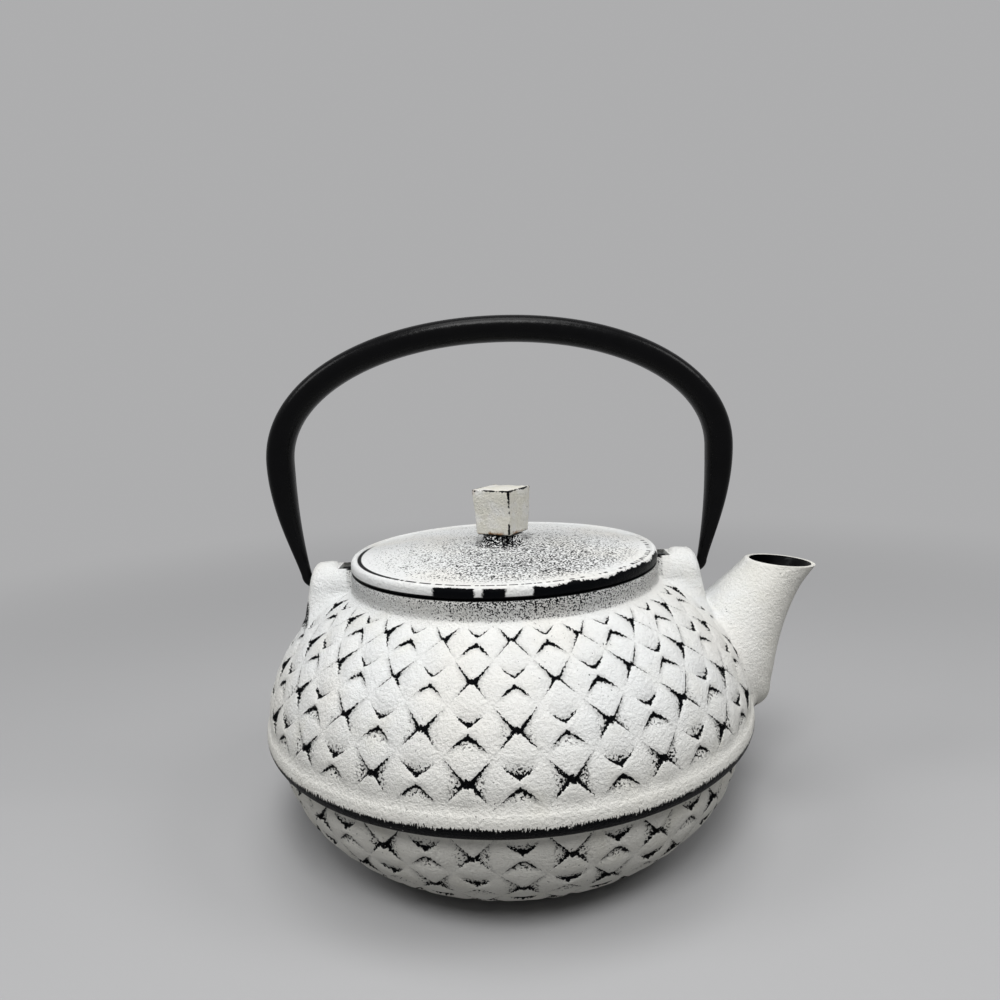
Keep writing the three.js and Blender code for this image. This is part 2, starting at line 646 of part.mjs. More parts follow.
// Pan-head screw, from its slotted head under the washer up into the knob
function screwGeometry() {
  const headTop = LID_UNDER - WASHER_THICKNESS - 2 * SEAT_GAP;
  const headBottom = headTop - SCREW_HEAD_HEIGHT;
  const body = solid(turned([
    [0, headBottom],
    [SCREW_HEAD_RADIUS * 0.7, headBottom],
    [SCREW_HEAD_RADIUS, headBottom + SCREW_HEAD_HEIGHT * 0.6],
    [SCREW_HEAD_RADIUS, headTop],
    [SCREW_RADIUS, headTop],
    [SCREW_RADIUS, KNOB_FOOT + SCREW_REACH - EDGE_BREAK],
    [SCREW_RADIUS - EDGE_BREAK, KNOB_FOOT + SCREW_REACH],
    [0, KNOB_FOOT + SCREW_REACH],
  ], SMALL_STEPS));
  const slot = new THREE.BoxGeometry(SCREW_HEAD_RADIUS * 3, SCREW_SLOT_WIDTH, SCREW_SLOT_DEPTH * 2)
    .translate(0, 0, headBottom);
  return geometryOf(body.subtract(solid(slot)));
}

// Rolled rim: a flat flange that hangs on the ledge, with a band down the outside of the mesh
function basketRimGeometry() {
  const bottom = BASKET_RIM_BOTTOM;
  const top = bottom + BASKET_RIM_THICKNESS;
  const outer = MOUTH_RADIUS - SEAT_GAP;
  const blunt = BASKET_RIM_THICKNESS / 3;
  return closedGeometry(turnedRing([
    [MESH_INNER, bottom],
    [BAND_INNER, bottom],
    [BAND_INNER, bottom - BASKET_BAND_HEIGHT],
    [BAND_OUTER, bottom - BASKET_BAND_HEIGHT],
    [BAND_OUTER, bottom],
    [outer - blunt, bottom],
    [outer, bottom + blunt],
    [outer, top - blunt],
    [outer - blunt, top],
    [MESH_INNER, top],
  ]));
}

function basketMeshGeometry() {
  const top = BASKET_RIM_BOTTOM - SEAT_GAP;
  const bottom = BASKET_FOOT + BASKET_BAND + SEAT_GAP;
  return closedGeometry(turnedRing([
    [MESH_INNER, bottom],
    [MESH_OUTER, bottom],
    [MESH_OUTER, top],
    [MESH_INNER, top],
  ]));
}

// Foot ring: a band round the mesh with a lip that carries the floor
function basketFootGeometry() {
  const lipTop = BASKET_FOOT + BASKET_BAND;
  return closedGeometry(turnedRing([
    [BAND_OUTER - BASKET_LIP, BASKET_FOOT],
    [BAND_OUTER - EDGE_BREAK, BASKET_FOOT],
    [BAND_OUTER, BASKET_FOOT + EDGE_BREAK],
    [BAND_OUTER, BASKET_FOOT + BASKET_FOOT_HEIGHT],
    [BAND_INNER, BASKET_FOOT + BASKET_FOOT_HEIGHT],
    [BAND_INNER, lipTop],
    [BAND_OUTER - BASKET_LIP, lipTop],
  ]));
}

function basketFloorGeometry() {
  const bottom = BASKET_FOOT + BASKET_BAND + SEAT_GAP;
  const radius = MESH_INNER - SEAT_GAP;
  return closedGeometry(turned([
    [0, bottom],
    [radius, bottom],
    [radius, bottom + BASKET_MESH],
    [0, bottom + BASKET_MESH],
  ]));
}

function piece(name, geometry, finish) {
  geometry.computeVertexNormals();
  const mesh = new THREE.Mesh(geometry, new THREE.MeshStandardMaterial(FINISHES[finish]));
  mesh.name = name;
  return mesh;
}

const lidGroup = new THREE.Group();
lidGroup.add(piece('lid', lidGeometry(), 'lidPaint'));
const knob = piece('knob', knobGeometry(), 'lidPaint');
knob.position.z = KNOB_FOOT;
knob.rotation.z = THREE.MathUtils.degToRad(KNOB_TURN);
lidGroup.add(knob);
lidGroup.add(piece('knob_washer', washerGeometry(), 'steel'));
lidGroup.add(piece('knob_screw', screwGeometry(), 'steel'));

const basketGroup = new THREE.Group();
basketGroup.add(piece('basket_rim', basketRimGeometry(), 'steel'));
basketGroup.add(piece('basket_mesh', basketMeshGeometry(), 'steel'));
basketGroup.add(piece('basket_foot', basketFootGeometry(), 'steel'));
basketGroup.add(piece('basket_floor', basketFloorGeometry(), 'steel'));

const teapot = new THREE.Group();
teapot.add(piece('pot', potGeometry(), 'paint'));
teapot.add(piece('bail', bailGeometry(), 'blackEnamel'));
teapot.add(lidGroup);
teapot.add(basketGroup);

export default teapot;
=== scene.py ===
import json
import math

import bpy
import numpy as np
from mathutils import Matrix, Vector
from mathutils.bvhtree import BVHTree


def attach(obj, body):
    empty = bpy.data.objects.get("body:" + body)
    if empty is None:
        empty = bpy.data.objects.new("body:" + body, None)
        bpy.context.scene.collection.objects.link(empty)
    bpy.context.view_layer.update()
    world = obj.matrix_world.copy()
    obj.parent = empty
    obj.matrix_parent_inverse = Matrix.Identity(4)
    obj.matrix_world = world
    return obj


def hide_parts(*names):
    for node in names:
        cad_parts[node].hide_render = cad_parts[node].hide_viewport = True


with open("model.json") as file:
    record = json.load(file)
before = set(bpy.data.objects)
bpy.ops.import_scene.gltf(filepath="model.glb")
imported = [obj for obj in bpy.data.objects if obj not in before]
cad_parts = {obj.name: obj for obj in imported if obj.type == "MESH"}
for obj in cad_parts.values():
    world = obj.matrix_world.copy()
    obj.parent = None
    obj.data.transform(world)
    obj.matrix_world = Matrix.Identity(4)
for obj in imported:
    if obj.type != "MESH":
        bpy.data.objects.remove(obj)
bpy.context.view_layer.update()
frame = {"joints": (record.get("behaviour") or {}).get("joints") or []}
mm = 0.001


# Camera. A phone held about 20 cm in front of the pot and a little above its lid,
# looking down by 8 degrees and leaning by 2, with the view of a 27 mm lens.
camera_place = Vector((-0.4, -196.8, 114.3)) * mm
look_down = 0.145
lean = -0.042
ahead = Vector((0, math.cos(look_down), -math.sin(look_down)))
level_up = Vector((1, 0, 0)).cross(ahead)
camera_right = math.cos(lean) * Vector((1, 0, 0)) + math.sin(lean) * level_up
camera_up = -math.sin(lean) * Vector((1, 0, 0)) + math.cos(lean) * level_up
camera = bpy.data.objects.new("camera", bpy.data.cameras.new("camera"))
camera.data.sensor_width = 36
camera.data.lens = 27.04
camera.data.clip_start = 0.01
camera.matrix_world = Matrix.Translation(camera_place) @ Matrix(
    (camera_right, camera_up, -ahead)
).transposed().to_4x4()
bpy.context.scene.collection.objects.link(camera)
bpy.context.scene.camera = camera


# Studio. A plain pale floor that fades into the backdrop, four soft lamps high up overhead, in front and
# at both sides, and a dim room all round that fills the shadows.
class Wire:
    """One output in a tree of nodes. Sums of wires and numbers add the maths nodes that they need."""

    def __init__(self, tree, socket=None):
        self.tree = tree
        self.socket = socket

    def node(self, kind, settings=None, inputs=None, output=0):
        """Adds a node, sets it and its inputs, and gives one of its outputs."""
        made = self.tree.nodes.new(kind)
        for name, value in (settings or {}).items():
            setattr(made, name, value)
        for name, value in (inputs or {}).items():
            if isinstance(value, Wire):
                self.tree.links.new(value.socket, made.inputs[name])
            else:
                made.inputs[name].default_value = value
        return Wire(self.tree, made.outputs[output])

    def maths(self, operation, *others):
        """A maths node with this wire as its first value."""
        return self.node("ShaderNodeMath", {"operation": operation}, dict(enumerate((self, *others))))

    def __add__(self, other):
        return self.maths("ADD", other)

    def __sub__(self, other):
        return self.maths("SUBTRACT", other)

    def __rsub__(self, other):
        return self.node("ShaderNodeMath", {"operation": "SUBTRACT"}, {0: other, 1: self})

    def __mul__(self, other):
        return self.maths("MULTIPLY", other)

    def __truediv__(self, other):
        return self.maths("DIVIDE", other)

    __radd__ = __add__
    __rmul__ = __mul__

    def size(self):
        return self.maths("ABSOLUTE")

    def least(self, other):
        return self.maths("MINIMUM", other)

    def most(self, *others):
        """The largest of this and other numbers."""
        largest = self
        for other in others:
            largest = largest.maths("MAXIMUM", other)
        return largest

    def parts(self):
        """The three numbers of a place."""
        split = self.node("ShaderNodeSeparateXYZ", {}, {0: self}).socket.node
        return [Wire(self.tree, socket) for socket in split.outputs]

    def spot(self, x, y, z=0.0):
        """A place from three numbers."""
        return self.node("ShaderNodeCombineXYZ", {}, {0: x, 1: y, 2: z})

    def scaled(self, factor):
        """A place times a number."""
        return self.node("ShaderNodeVectorMath", {"operation": "SCALE"}, {0: self, "Scale": factor})

    def hypot(self, other):
        """The length of a pair of numbers."""
        return (self * self + other * other).maths("SQRT")

    def step(self, low, high):
        """Rises smoothly from 0 at low to 1 at high; the other way round where low is the larger."""
        if low > high:
            return 1 - self.step(high, low)
        settings = {"interpolation_type": "SMOOTHSTEP"}
        return self.node("ShaderNodeMapRange", settings, {"Value": self, "From Min": low, "From Max": high})

    def noise(self, scale, detail=2.0, roughness=0.5):
        """Noise of about one lump to each unit over scale, where this wire is a place."""
        inputs = {"Vector": self, "Scale": scale, "Detail": detail, "Roughness": roughness}
        return self.node("ShaderNodeTexNoise", {}, inputs)

    def mix(self, low, high):
        """A colour between two others, where this wire is the share of the second."""
        return self.node("ShaderNodeMix", {"data_type": "RGBA"}, {0: self, 6: low, 7: high}, output=2)


def new_finish(name):
    """An empty material, with a wire to start its tree from and its surface's output node."""
    material = bpy.data.materials.new(name)
    material.use_nodes = True
    tree = material.node_tree
    tree.nodes.clear()
    return material, Wire(tree), tree.nodes.new("ShaderNodeOutputMaterial")


def link_object(name, mesh):
    made = bpy.data.objects.new(name, mesh)
    bpy.context.scene.collection.objects.link(made)
    return made


def seen_as_it_is(start):
    """1 for what the camera sees, straight or in gloss or through glass, and 0 for the light it gives."""
    straight, in_gloss, through = (start.node("ShaderNodeLightPath", output=number) for number in (0, 3, 6))
    return straight.most(in_gloss, through)


# The floor throws less light up at the bowl than it shows to the camera, like the cloth in the photo
floor_half = 3.0
floor_grey = (0.40, 0.40, 0.405, 1)
floor_bounce = (0.22, 0.22, 0.22, 1)
backdrop_grey = (0.42, 0.42, 0.425, 1)
backdrop_from, backdrop_full = 0.14, 0.50
room_white = (0.97, 0.98, 1.0, 1)
room_strength = 0.13
floor_mesh = bpy.data.meshes.new("floor")
floor_corners = [(-1, -1), (1, -1), (1, 1), (-1, 1)]
floor_mesh.from_pydata([(x * floor_half, y * floor_half, 0) for x, y in floor_corners], [], [(0, 1, 2, 3)])
floor = link_object("floor", floor_mesh)
floor_finish, start, surface = new_finish("pale_floor")
floor_colour = seen_as_it_is(start).mix(floor_bounce, floor_grey)
floor_shader = start.node("ShaderNodeBsdfPrincipled", {}, {"Base Color": floor_colour, "Roughness": 0.85})
floor_glow = start.node("ShaderNodeEmission", {}, {"Color": backdrop_grey, "Strength": 1.0})
floor_place = start.node("ShaderNodeTexCoord", output="Object")
from_pot = start.node("ShaderNodeVectorMath", {"operation": "LENGTH"}, {0: floor_place}, output=1)
far_off = from_pot.step(backdrop_from, backdrop_full) * seen_as_it_is(start)
floor_mixed = start.node("ShaderNodeMixShader", {}, {0: far_off, 1: floor_shader, 2: floor_glow})
start.tree.links.new(floor_mixed.socket, surface.inputs["Surface"])
floor_mesh.materials.append(floor_finish)

world = bpy.data.worlds.new("pale_room")
world.use_nodes = True
world.node_tree.nodes.clear()
start = Wire(world.node_tree)
room = start.node("ShaderNodeBackground", {}, {"Color": room_white, "Strength": room_strength})
backdrop = start.node("ShaderNodeBackground", {}, {"Color": backdrop_grey, "Strength": 1.0})
around_pot = start.node("ShaderNodeMixShader", {}, {0: seen_as_it_is(start), 1: room, 2: backdrop})
world_output = world.node_tree.nodes.new("ShaderNodeOutputWorld")
world.node_tree.links.new(around_pot.socket, world_output.inputs["Surface"])
bpy.context.scene.world = world
bpy.context.scene.view_settings.view_transform = "Standard"
lamp_aim = Vector((0, 0, 0.05))
for name, place, size, power in (
    ("overhead", (0.02, -0.14, 0.75), 0.42, 2.2),
    ("front", (-0.01, -0.46, 0.69), 0.30, 3.5),
    ("left", (-0.55, -0.20, 0.62), 0.30, 1.3),
    ("right", (0.55, -0.20, 0.62), 0.30, 1.4),
):
    lamp = bpy.data.lights.new(name, "AREA")
    lamp.shape = "DISK"
    lamp.size = size
    lamp.energy = power
    stand = link_object(name, lamp)
    stand.location = place
    stand.rotation_euler = (lamp_aim - Vector(place)).to_track_quat("-Z", "Y").to_euler()


# Pot. One iron casting with a flat base, a ridged bowl, a shoulder with the weave, a collar, a spout and
# two ears that thin webs join to the collar. It is enamelled black, and white paint is dabbed over the
# relief and rubbed back.
wall = 3.0
floor_thickness = 3.6
base_radius = 40.0
bowl_top_radius = 60.5
bowl_roundness = 14.6
ridge_height = 31.0
ridge_radius = 63.9
ridge_drop = 3.5
ridge_rise = 3.0
belly_radius = 62.9
shoulder_spread_power = 1.25
shoulder_rise_power = 1.9
collar_radius = 40.3
collar_root_height = 64.4
collar_top = 69.5
throat_radius = 34.4
mouth_radius = 37.0
ledge_height = 66.6
weave_columns = 38
weave_pitch = 9.76
weave_first_row = 5.0
weave_turn = 0.019
weave_over = 0.35
weave_under = 0.75
weave_curl = 1.25
weave_swell = 0.30
cells = 14
hinge = next(joint for joint in frame["joints"] if joint["name"] == "bail_fold")
hinge_height = hinge["pos_m"][2] / mm


def facing_out(points, faces):
    """The faces of a closed skin, turned over if they face in."""
    fan = np.array([(f[0], f[i], f[i + 1]) for f in faces for i in range(1, len(f) - 1)])
    one, two, three = (points[fan[:, k]] for k in range(3))
    inside_out = np.einsum("ij,ij->i", one, np.cross(two, three)).sum() < 0
    return [face[::-1] for face in faces] if inside_out else faces


def closed_skin(rows):
    """Points and faces of a closed skin over rows of points round it; the first and last are poles."""
    count, across = rows.shape[:2]
    index = np.arange(count * across).reshape(count, across)
    for row in (0, count - 1):
        index[row] = index[row, 0]
    following = np.roll(index, -1, axis=1)
    faces = []
    for row in range(count - 1):
        corners = np.column_stack([index[row], following[row], following[row + 1], index[row + 1]])
        if row == 0:
            corners = corners[:, [0, 2, 3]]
        elif row == count - 2:
            corners = corners[:, [0, 1, 2]]
        faces.extend(corners.tolist())
    points = rows.reshape(-1, 3)
    return points, facing_out(points, faces)


def make_mesh(name, points, faces, uv=None):
    """A mesh in metres from points in millimetres. uv gives, by name, a pair for each point or for all."""
    used = np.unique(np.concatenate([np.asarray(face) for face in faces]))
    place = np.full(len(points), -1)
    place[used] = np.arange(len(used))
    mesh = bpy.data.meshes.new(name)
    mesh.from_pydata((points[used] * mm).tolist(), [], [[int(place[i]) for i in face] for face in faces])
    corner = np.empty(len(mesh.loops), dtype=int)
    mesh.loops.foreach_get("vertex_index", corner)
    for layer, values in (uv or {}).items():
        pairs = np.broadcast_to(values, (len(points), 2))[used][corner].astype(np.float32)
        mesh.uv_layers.new(name=layer).data.foreach_set("uv", pairs.ravel())
    mesh.validate()
    return mesh


def full_turn(count):
    """Evenly spaced angles all the way round."""
    return np.linspace(0, 2 * np.pi, count, endpoint=False)


def turned_rows(line, turn):
    """Rows of points where a line of radius and height is turned about the Z axis, from its top down."""
    line = np.asarray(line, dtype=float)
    heights = np.repeat(line[:, 1:], len(turn), axis=1)
    return np.stack([line[:, :1] * np.sin(turn), -line[:, :1] * np.cos(turn), heights], axis=2)


def capped(rows):
    """Rows of points with a pole in the middle of the first row and one in the middle of the last."""
    ends = [np.repeat(rows[end].mean(axis=0)[None, None], rows.shape[1], axis=1) for end in (0, -1)]
    return np.concatenate([ends[0], rows, ends[1]])


def arc(turn, centre, reach):
    """Points at angles round a centre, where reach is one radius, or one along and one up."""
    along_reach, up_reach = reach if isinstance(reach, tuple) else (reach, reach)
    return np.column_stack([centre[0] + along_reach * np.cos(turn), centre[1] + up_reach * np.sin(turn)])


def run_along(line):
    """How far each point of a line is along it."""
    return np.concatenate([[0], np.cumsum(np.hypot(*np.diff(line, axis=0).T))])


def line_length(line):
    return run_along(line)[-1]


def along(line, distance):
    """The points of a line at distances along it, and the way out of the wall there."""
    run = run_along(line)
    place, heading = (
        np.column_stack([np.interp(distance, run, values[:, k]) for k in (0, 1)])
        for values in (line, np.gradient(line, run, axis=0))
    )
    heading /= np.linalg.norm(heading, axis=1, keepdims=True)
    return place, np.column_stack([-heading[:, 1], heading[:, 0]])


# Side lines, from the collar's root down to the ridge and from the ridge down to the base
quarter = np.linspace(np.pi / 2, 0, 400)
shoulder_foot = ridge_height + ridge_rise
shoulder_width = belly_radius - collar_radius
shoulder_line = np.column_stack([
    collar_radius + shoulder_width * np.cos(quarter).clip(0) ** (2 / shoulder_spread_power),
    shoulder_foot + (collar_root_height - shoulder_foot) * np.sin(quarter) ** (2 / shoulder_rise_power),
])
bowl_top = ridge_height - ridge_drop
bowl_spread = bowl_top_radius - bowl_roundness
bowl_end = math.acos((base_radius - bowl_roundness) / bowl_spread)
bowl_turn = np.linspace(0, bowl_end, 400)
bowl_line = arc(bowl_turn, (bowl_roundness, bowl_top), (bowl_spread, -bowl_top / math.sin(bowl_end)))


def weave_rows(line, first, first_row, clear):
    """Rows of the weave's grid along a side line: point and row number. The first row of the weave lies
    at a distance from the line's start, and clear is left free at both of its ends."""
    fine = weave_pitch / cells
    last = line_length(line) - clear - first
    steps = np.arange(math.ceil((clear - first) / fine), math.floor(last / fine) + 1)
    return along(line, first + steps * fine)[0], first_row + steps / cells


shoulder_points, shoulder_number = weave_rows(shoulder_line, weave_first_row, first_row=1, clear=0.9)
bowl_points, bowl_number = weave_rows(bowl_line, weave_pitch / 2, first_row=6, clear=0.4)
bead_turn = np.radians([75, 60, 45, 30, 15, 0, -12, -24, -36, -48, -60, -75, -90])
bead_root = np.where(bead_turn < 0, bowl_top_radius, belly_radius)
bead_reach = np.where(bead_turn < 0, ridge_drop, ridge_rise)
bead_points = arc(bead_turn, (bead_root, ridge_height), (ridge_radius - bead_root, bead_reach))
collar_points = np.array([
    [0, collar_top],
    [30, collar_top],
    [collar_radius - 0.7, collar_top],
    [collar_radius - 0.25, collar_top - 0.15],
    [collar_radius, collar_top - 0.6],
    [collar_radius, collar_top - 2.0],
    [collar_radius, collar_top - 3.4],
    [collar_radius + 0.1, collar_root_height + 0.9],
    [collar_radius + 0.5, collar_root_height + 0.35],
])
flat_top_rows = 3
base_points = np.array([[base_radius - 0.6, 0], [30, 0], [15, 0], [0, 0]])
skin_line = np.vstack([collar_points, shoulder_points, bead_points, bowl_points, base_points])
bottom_number = bowl_number[-1]
skin_number = np.concatenate([
    np.zeros(len(collar_points)),
    shoulder_number,
    np.linspace(4.7, 5.3, len(bead_points)),
    bowl_number,
    np.full(len(base_points), bottom_number),
])
skin_run = run_along(skin_line)
crest = len(collar_points) + len(shoulder_points) + np.argmin(np.abs(bead_turn))
skin_above = skin_run[crest] - skin_run
# The weave runs out at the collar's root, on both sides of the ridge and above the base
strength_rows = [0.45, 0.95, 4.3, 4.62, 5.42, 5.72, bottom_number - 0.35, bottom_number]
skin_strength = np.interp(skin_number, strength_rows, [0, 1, 1, 0, 0, 1, 1, 0])
skin_strength[-len(base_points) :] = 0
skin_strength[: len(collar_points)] = 0

# Spout: each station has its rear and front edge in the XZ plane and its half width
spout_stations = np.array([
    (42.0, 42.0, 57.0, 24.0, 15.0),
    (46.5, 49.5, 68.6, 28.6, 15.5),
    (50.0, 53.6, 70.8, 35.5, 14.5),
    (54.2, 57.4, 72.6, 43.5, 12.0),
    (58.7, 61.3, 75.1, 51.6, 10.0),
    (62.4, 64.5, 78.6, 59.2, 8.7),
    (65.0, 67.0, 83.0, 65.1, 8.0),
])
spout_wall = {"wall_at_root": 4.6, "wall_at_lip": 1.0}
bore_overrun = 2.0


def smooth_stations(stations, share):
    """Stations between the given ones, on a curve through them."""
    last = len(stations) - 1
    place = share * last
    before = np.clip(np.floor(place).astype(int), 0, last - 1)
    part = (place - before)[:, None]
    ends = 2 * stations[[0, -1]] - stations[[1, -2]]
    stations = np.vstack([ends[:1], stations, ends[1:]])
    p0, p1, p2, p3 = (stations[before + k] for k in range(4))
    return 0.5 * (
        2 * p1
        + (p2 - p0) * part
        + (2 * p0 - 5 * p1 + 4 * p2 - p3) * part**2
        + (3 * p1 - p0 - 3 * p2 + p3) * part**3
    )


def spout_rows(count, across, wall_at_root=0, wall_at_lip=0, overrun=0.0):
    """Rows of points round the spout, or round its bore where a wall is taken off."""
    share = np.linspace(0, 1, count)
    found = smooth_stations(spout_stations, share)
    rear, front, side = found[:, 0:2], found[:, 2:4], found[:, 4]
    thick = wall_at_root + (wall_at_lip - wall_at_root) * share
    half = (front - rear) / 2
    half *= 1 - thick[:, None] / np.linalg.norm(half, axis=1, keepdims=True)
    centre = (rear + front) / 2
    side = side - thick
    if overrun:
        out = np.array([-half[-1, 1], half[-1, 0]]) / np.linalg.norm(half[-1])
        centre = np.vstack([centre, centre[-1] + out * overrun])
        half = np.vstack([half, half[-1]])
        side = np.append(side, side[-1])
    turn = full_turn(across)
    x, z = (centre[:, k : k + 1] + half[:, k : k + 1] * np.cos(turn) for k in (0, 1))
    return capped(np.stack([x, side[:, None] * np.sin(turn), z], axis=2))


# Ears: arched plates across the hinge's axis, rounded all round, leaning out towards their roots
ear_inner = 43.7
ear_thickness = 6.9
ear_top = 70.9
ear_crown_radius = 6.8
ear_root_half = 10.0
ear_root_height = 55.5
ear_rounding = 2.3
ear_lean = 0.14
web_rise = 4.3
web_in_collar = 1.2
web_in_ear = 2.0
ear_crown = ear_top - ear_crown_radius

# The pot's skin is tucked in where a spout or an ear covers it
tuck = 0.4
tuck_full = 2.5


def ear_rows(side):
    """Rows of points over an ear, from its inner face out."""
    core = ear_crown_radius - ear_rounding
    foot = ear_root_half - ear_rounding
    outline = np.vstack([
        [[0, ear_root_height], [foot, ear_root_height]],
        arc(np.linspace(0, np.pi, 25), (0, ear_crown), core),
        [[-foot, ear_root_height], [0, ear_root_height]],
    ])
    points, outward = along(outline, np.linspace(0, line_length(outline), 61)[:-1])
    rows = []
    for turn in np.linspace(-np.pi / 2, np.pi / 2, 9):
        depth = ear_rounding * (1 + math.sin(turn)) + (ear_thickness - 2 * ear_rounding) * (turn > 0)
        yz = points - outward * ear_rounding * math.cos(turn)
        x = ear_inner + depth + depth / ear_thickness * ear_lean * (ear_top - yz[:, 1])
        rows.append(np.column_stack([side * x, yz]))
    return capped(np.array(rows))


def web_outline():
    """Both walls beside a hook's tip, from an ear's foot up, before the room of the tip is cut."""
    last = math.asin((hinge_height + web_rise - ear_crown) / ear_crown_radius)
    rounded_side = arc(np.linspace(0, last, 8), (0, ear_crown), ear_crown_radius)
    front = np.vstack([[[ear_root_half, ear_root_height]], rounded_side])
    return np.vstack([front, front[::-1] * (-1, 1)])


def bar_rows(outline, low, high):
    """A prism along the X axis over an outline of Y and Z."""
    outline = np.asarray(outline, dtype=float)
    return capped(np.array([np.column_stack([np.full(len(outline), x), outline]) for x in (low, high)]))


def smooth_step(low, high, value):
    share = np.clip((value - low) / (high - low), 0, 1)
    return share * share * (3 - 2 * share)


def gap_to(tree, points):
    """Distance of each point from a closed skin in millimetres, below zero inside it."""
    gaps = np.empty(len(points))
    for i, point in enumerate(points):
        spot = Vector(point)
        place, normal, _, gap = tree.find_nearest(spot)
        gaps[i] = math.copysign(gap, (spot - place).dot(normal))
    return gaps


def rise_to_meet(tree, points, outward, width):
    """How far the pot's skin rises for a soft root round a spout or an ear, and its distance before."""
    rise = np.zeros(len(points))
    before = gap_to(tree, points)
    gap = before
    for _ in range(7):
        share = np.clip(width - np.abs(rise - gap), 0, None) / width
        rise = np.clip(rise - np.minimum(rise, gap) + share**2 * width / 4, 0, width)
        gap = gap_to(tree, points + outward * rise[:, None])
    return rise - tuck * smooth_step(0, tuck_full, -before), before


# The weave's grid. Its lines run where a and b are whole, and strips cross where both are even or both
# odd. The tips that pass under are sunk, but not the lines between the strips.
across = weave_columns * cells
column = np.arange(across) - across // 2
turn = weave_turn + column * 2 * np.pi / across
skin_rows = turned_rows(skin_line, turn)
out_rows = turned_rows(along(skin_line, skin_run)[1], turn)
grid_row = np.round(skin_number * cells)[:, None]
line_a, line_b = ((column[None] + sign * grid_row) / cells for sign in (-1, 1))
wave_a, wave_b = (np.abs((line + 1) % 2 - 1) for line in (line_a, line_b))
level = (np.floor(line_a) + np.floor(line_b)) % 2 == 0
tilt = np.where(level, 1, -1) * (1 - wave_a - wave_b)
on_line = (line_a % 1 == 0) | (line_b % 1 == 0)
tilt = np.where(on_line, np.abs(tilt), tilt)
swell = 16 * (line_a % 1) * (1 - line_a % 1) * (line_b % 1) * (1 - line_b % 1)
bridge = smooth_step(0.003, 0.020, wave_a * wave_b)
under = weave_over * (1 - bridge) - weave_under * bridge
relief = np.abs(tilt) ** weave_curl * np.where(tilt > 0, weave_over, under) + weave_swell * swell

spout_points, spout_faces = closed_skin(spout_rows(count=48, across=72))
strength = np.repeat(skin_strength[:, None], across, axis=1)
rise = np.zeros_like(strength)
# Each solid with the width of its soft root, and how far from it the weave starts and is full
solids = {"spout": (spout_points, spout_faces, 2.4, 0.4, 2.2)}
for side, name in ((-1, "left_ear"), (1, "right_ear")):
    solids[name] = (*closed_skin(ear_rows(side)), 3.2, 0.8, 3.5)
for name, (points, faces, width, bare_to, full_from) in solids.items():
    tree = BVHTree.FromPolygons(points.tolist(), faces)
    size = np.ptp(points, axis=0) / 2 + full_from + 1
    near = (np.abs(skin_rows - (points.min(axis=0) + points.max(axis=0)) / 2) < size).all(axis=2)
    near[:flat_top_rows] = False
    lift, before = rise_to_meet(tree, skin_rows[near], out_rows[near], width)
    rise[near] = np.where(np.abs(lift) > np.abs(rise[near]), lift, rise[near])
    strength[near] *= smooth_step(bare_to, full_from, before)
skin_rows = skin_rows + out_rows * (rise + relief * strength)[:, :, None]

skin_points, skin_faces = closed_skin(skin_rows)
# Faces are split along the strips' edges, which run across them where a line of the lattice is whole
quads = []
whole_a = (column[None] - grid_row) % cells == 0
whole_b = (column[None] + grid_row + 1) % cells == 0
for face in skin_faces:
    spot = divmod(face[0], across)
    if len(face) == 4 and whole_a[spot]:
        quads += [face[:3], [face[0], *face[2:]]]
    elif len(face) == 4 and whole_b[spot]:
        quads += [[*face[:2], face[3]], face[1:]]
    else:
        quads.append(face)
weave_uv = np.dstack(np.broadcast_arrays(column / cells, skin_number[:, None])).reshape(-1, 2)
skin_uv = np.dstack(np.broadcast_arrays(strength, skin_above[:, None])).reshape(-1, 2)
uv_pairs = {"weave": weave_uv, "skin": skin_uv}
skin_mesh = make_mesh("pot_skin", skin_points, quads, uv_pairs)

# The faces that close the ring carry on past the last column of the weave
weave_layer = skin_mesh.uv_layers["weave"].data
pairs = np.empty(len(weave_layer) * 2, dtype=np.float32)
weave_layer.foreach_get("uv", pairs)
pairs = pairs.reshape(-1, 2)
face_start = np.array([polygon.loop_start for polygon in skin_mesh.polygons])
widest = np.maximum.reduceat(pairs[:, 0], face_start)
widest = np.repeat(widest, np.diff(face_start, append=len(pairs)))
pairs[(widest - pairs[:, 0]) > weave_columns / 2, 0] += weave_columns
weave_layer.foreach_set("uv", pairs.ravel())

# The cavity's side line follows the outer one at the wall's thickness
inside_shoulder, inside_out = along(shoulder_line, np.linspace(line_length(shoulder_line) - 0.01, 0, 40))
inside_shoulder = (inside_shoulder - inside_out * wall)[::-1]
inside_shoulder = inside_shoulder[inside_shoulder[:, 0] > throat_radius + 0.4]
inside_bowl, inside_out = along(bowl_line, np.linspace(0, line_length(bowl_line) * 0.9, 40))
inside_bowl = inside_bowl - inside_out * wall
inside_bowl = inside_bowl[inside_bowl[:, 1] > floor_thickness + 0.4]
cavity_line = np.vstack([
    [[0, collar_top + 2], [mouth_radius, collar_top + 2], [mouth_radius, ledge_height]],
    [[throat_radius, ledge_height], [throat_radius, inside_shoulder[0, 1] + 0.4]],
    inside_shoulder,
    inside_bowl,
    [[inside_bowl[-1, 0] - 2.5, floor_thickness], [0, floor_thickness]],
])
hook_radius = 1.3
hook_clearance = 0.45
hook_tip_height = 4.0
fold_past_level = math.radians(13)
past_ears = 56
hole_radius = hook_radius + hook_clearance
tip_reach = hook_tip_height + hole_radius
tip_dip = hole_radius + hook_tip_height * math.sin(fold_past_level)
recess_end = collar_radius + 0.1
low = math.asin(tip_dip / tip_reach)
hole_outline = arc(full_turn(32), (0, hinge_height), hole_radius)
room_outline = arc(np.linspace(-low, np.pi + low, 30), (0, hinge_height), tip_reach)
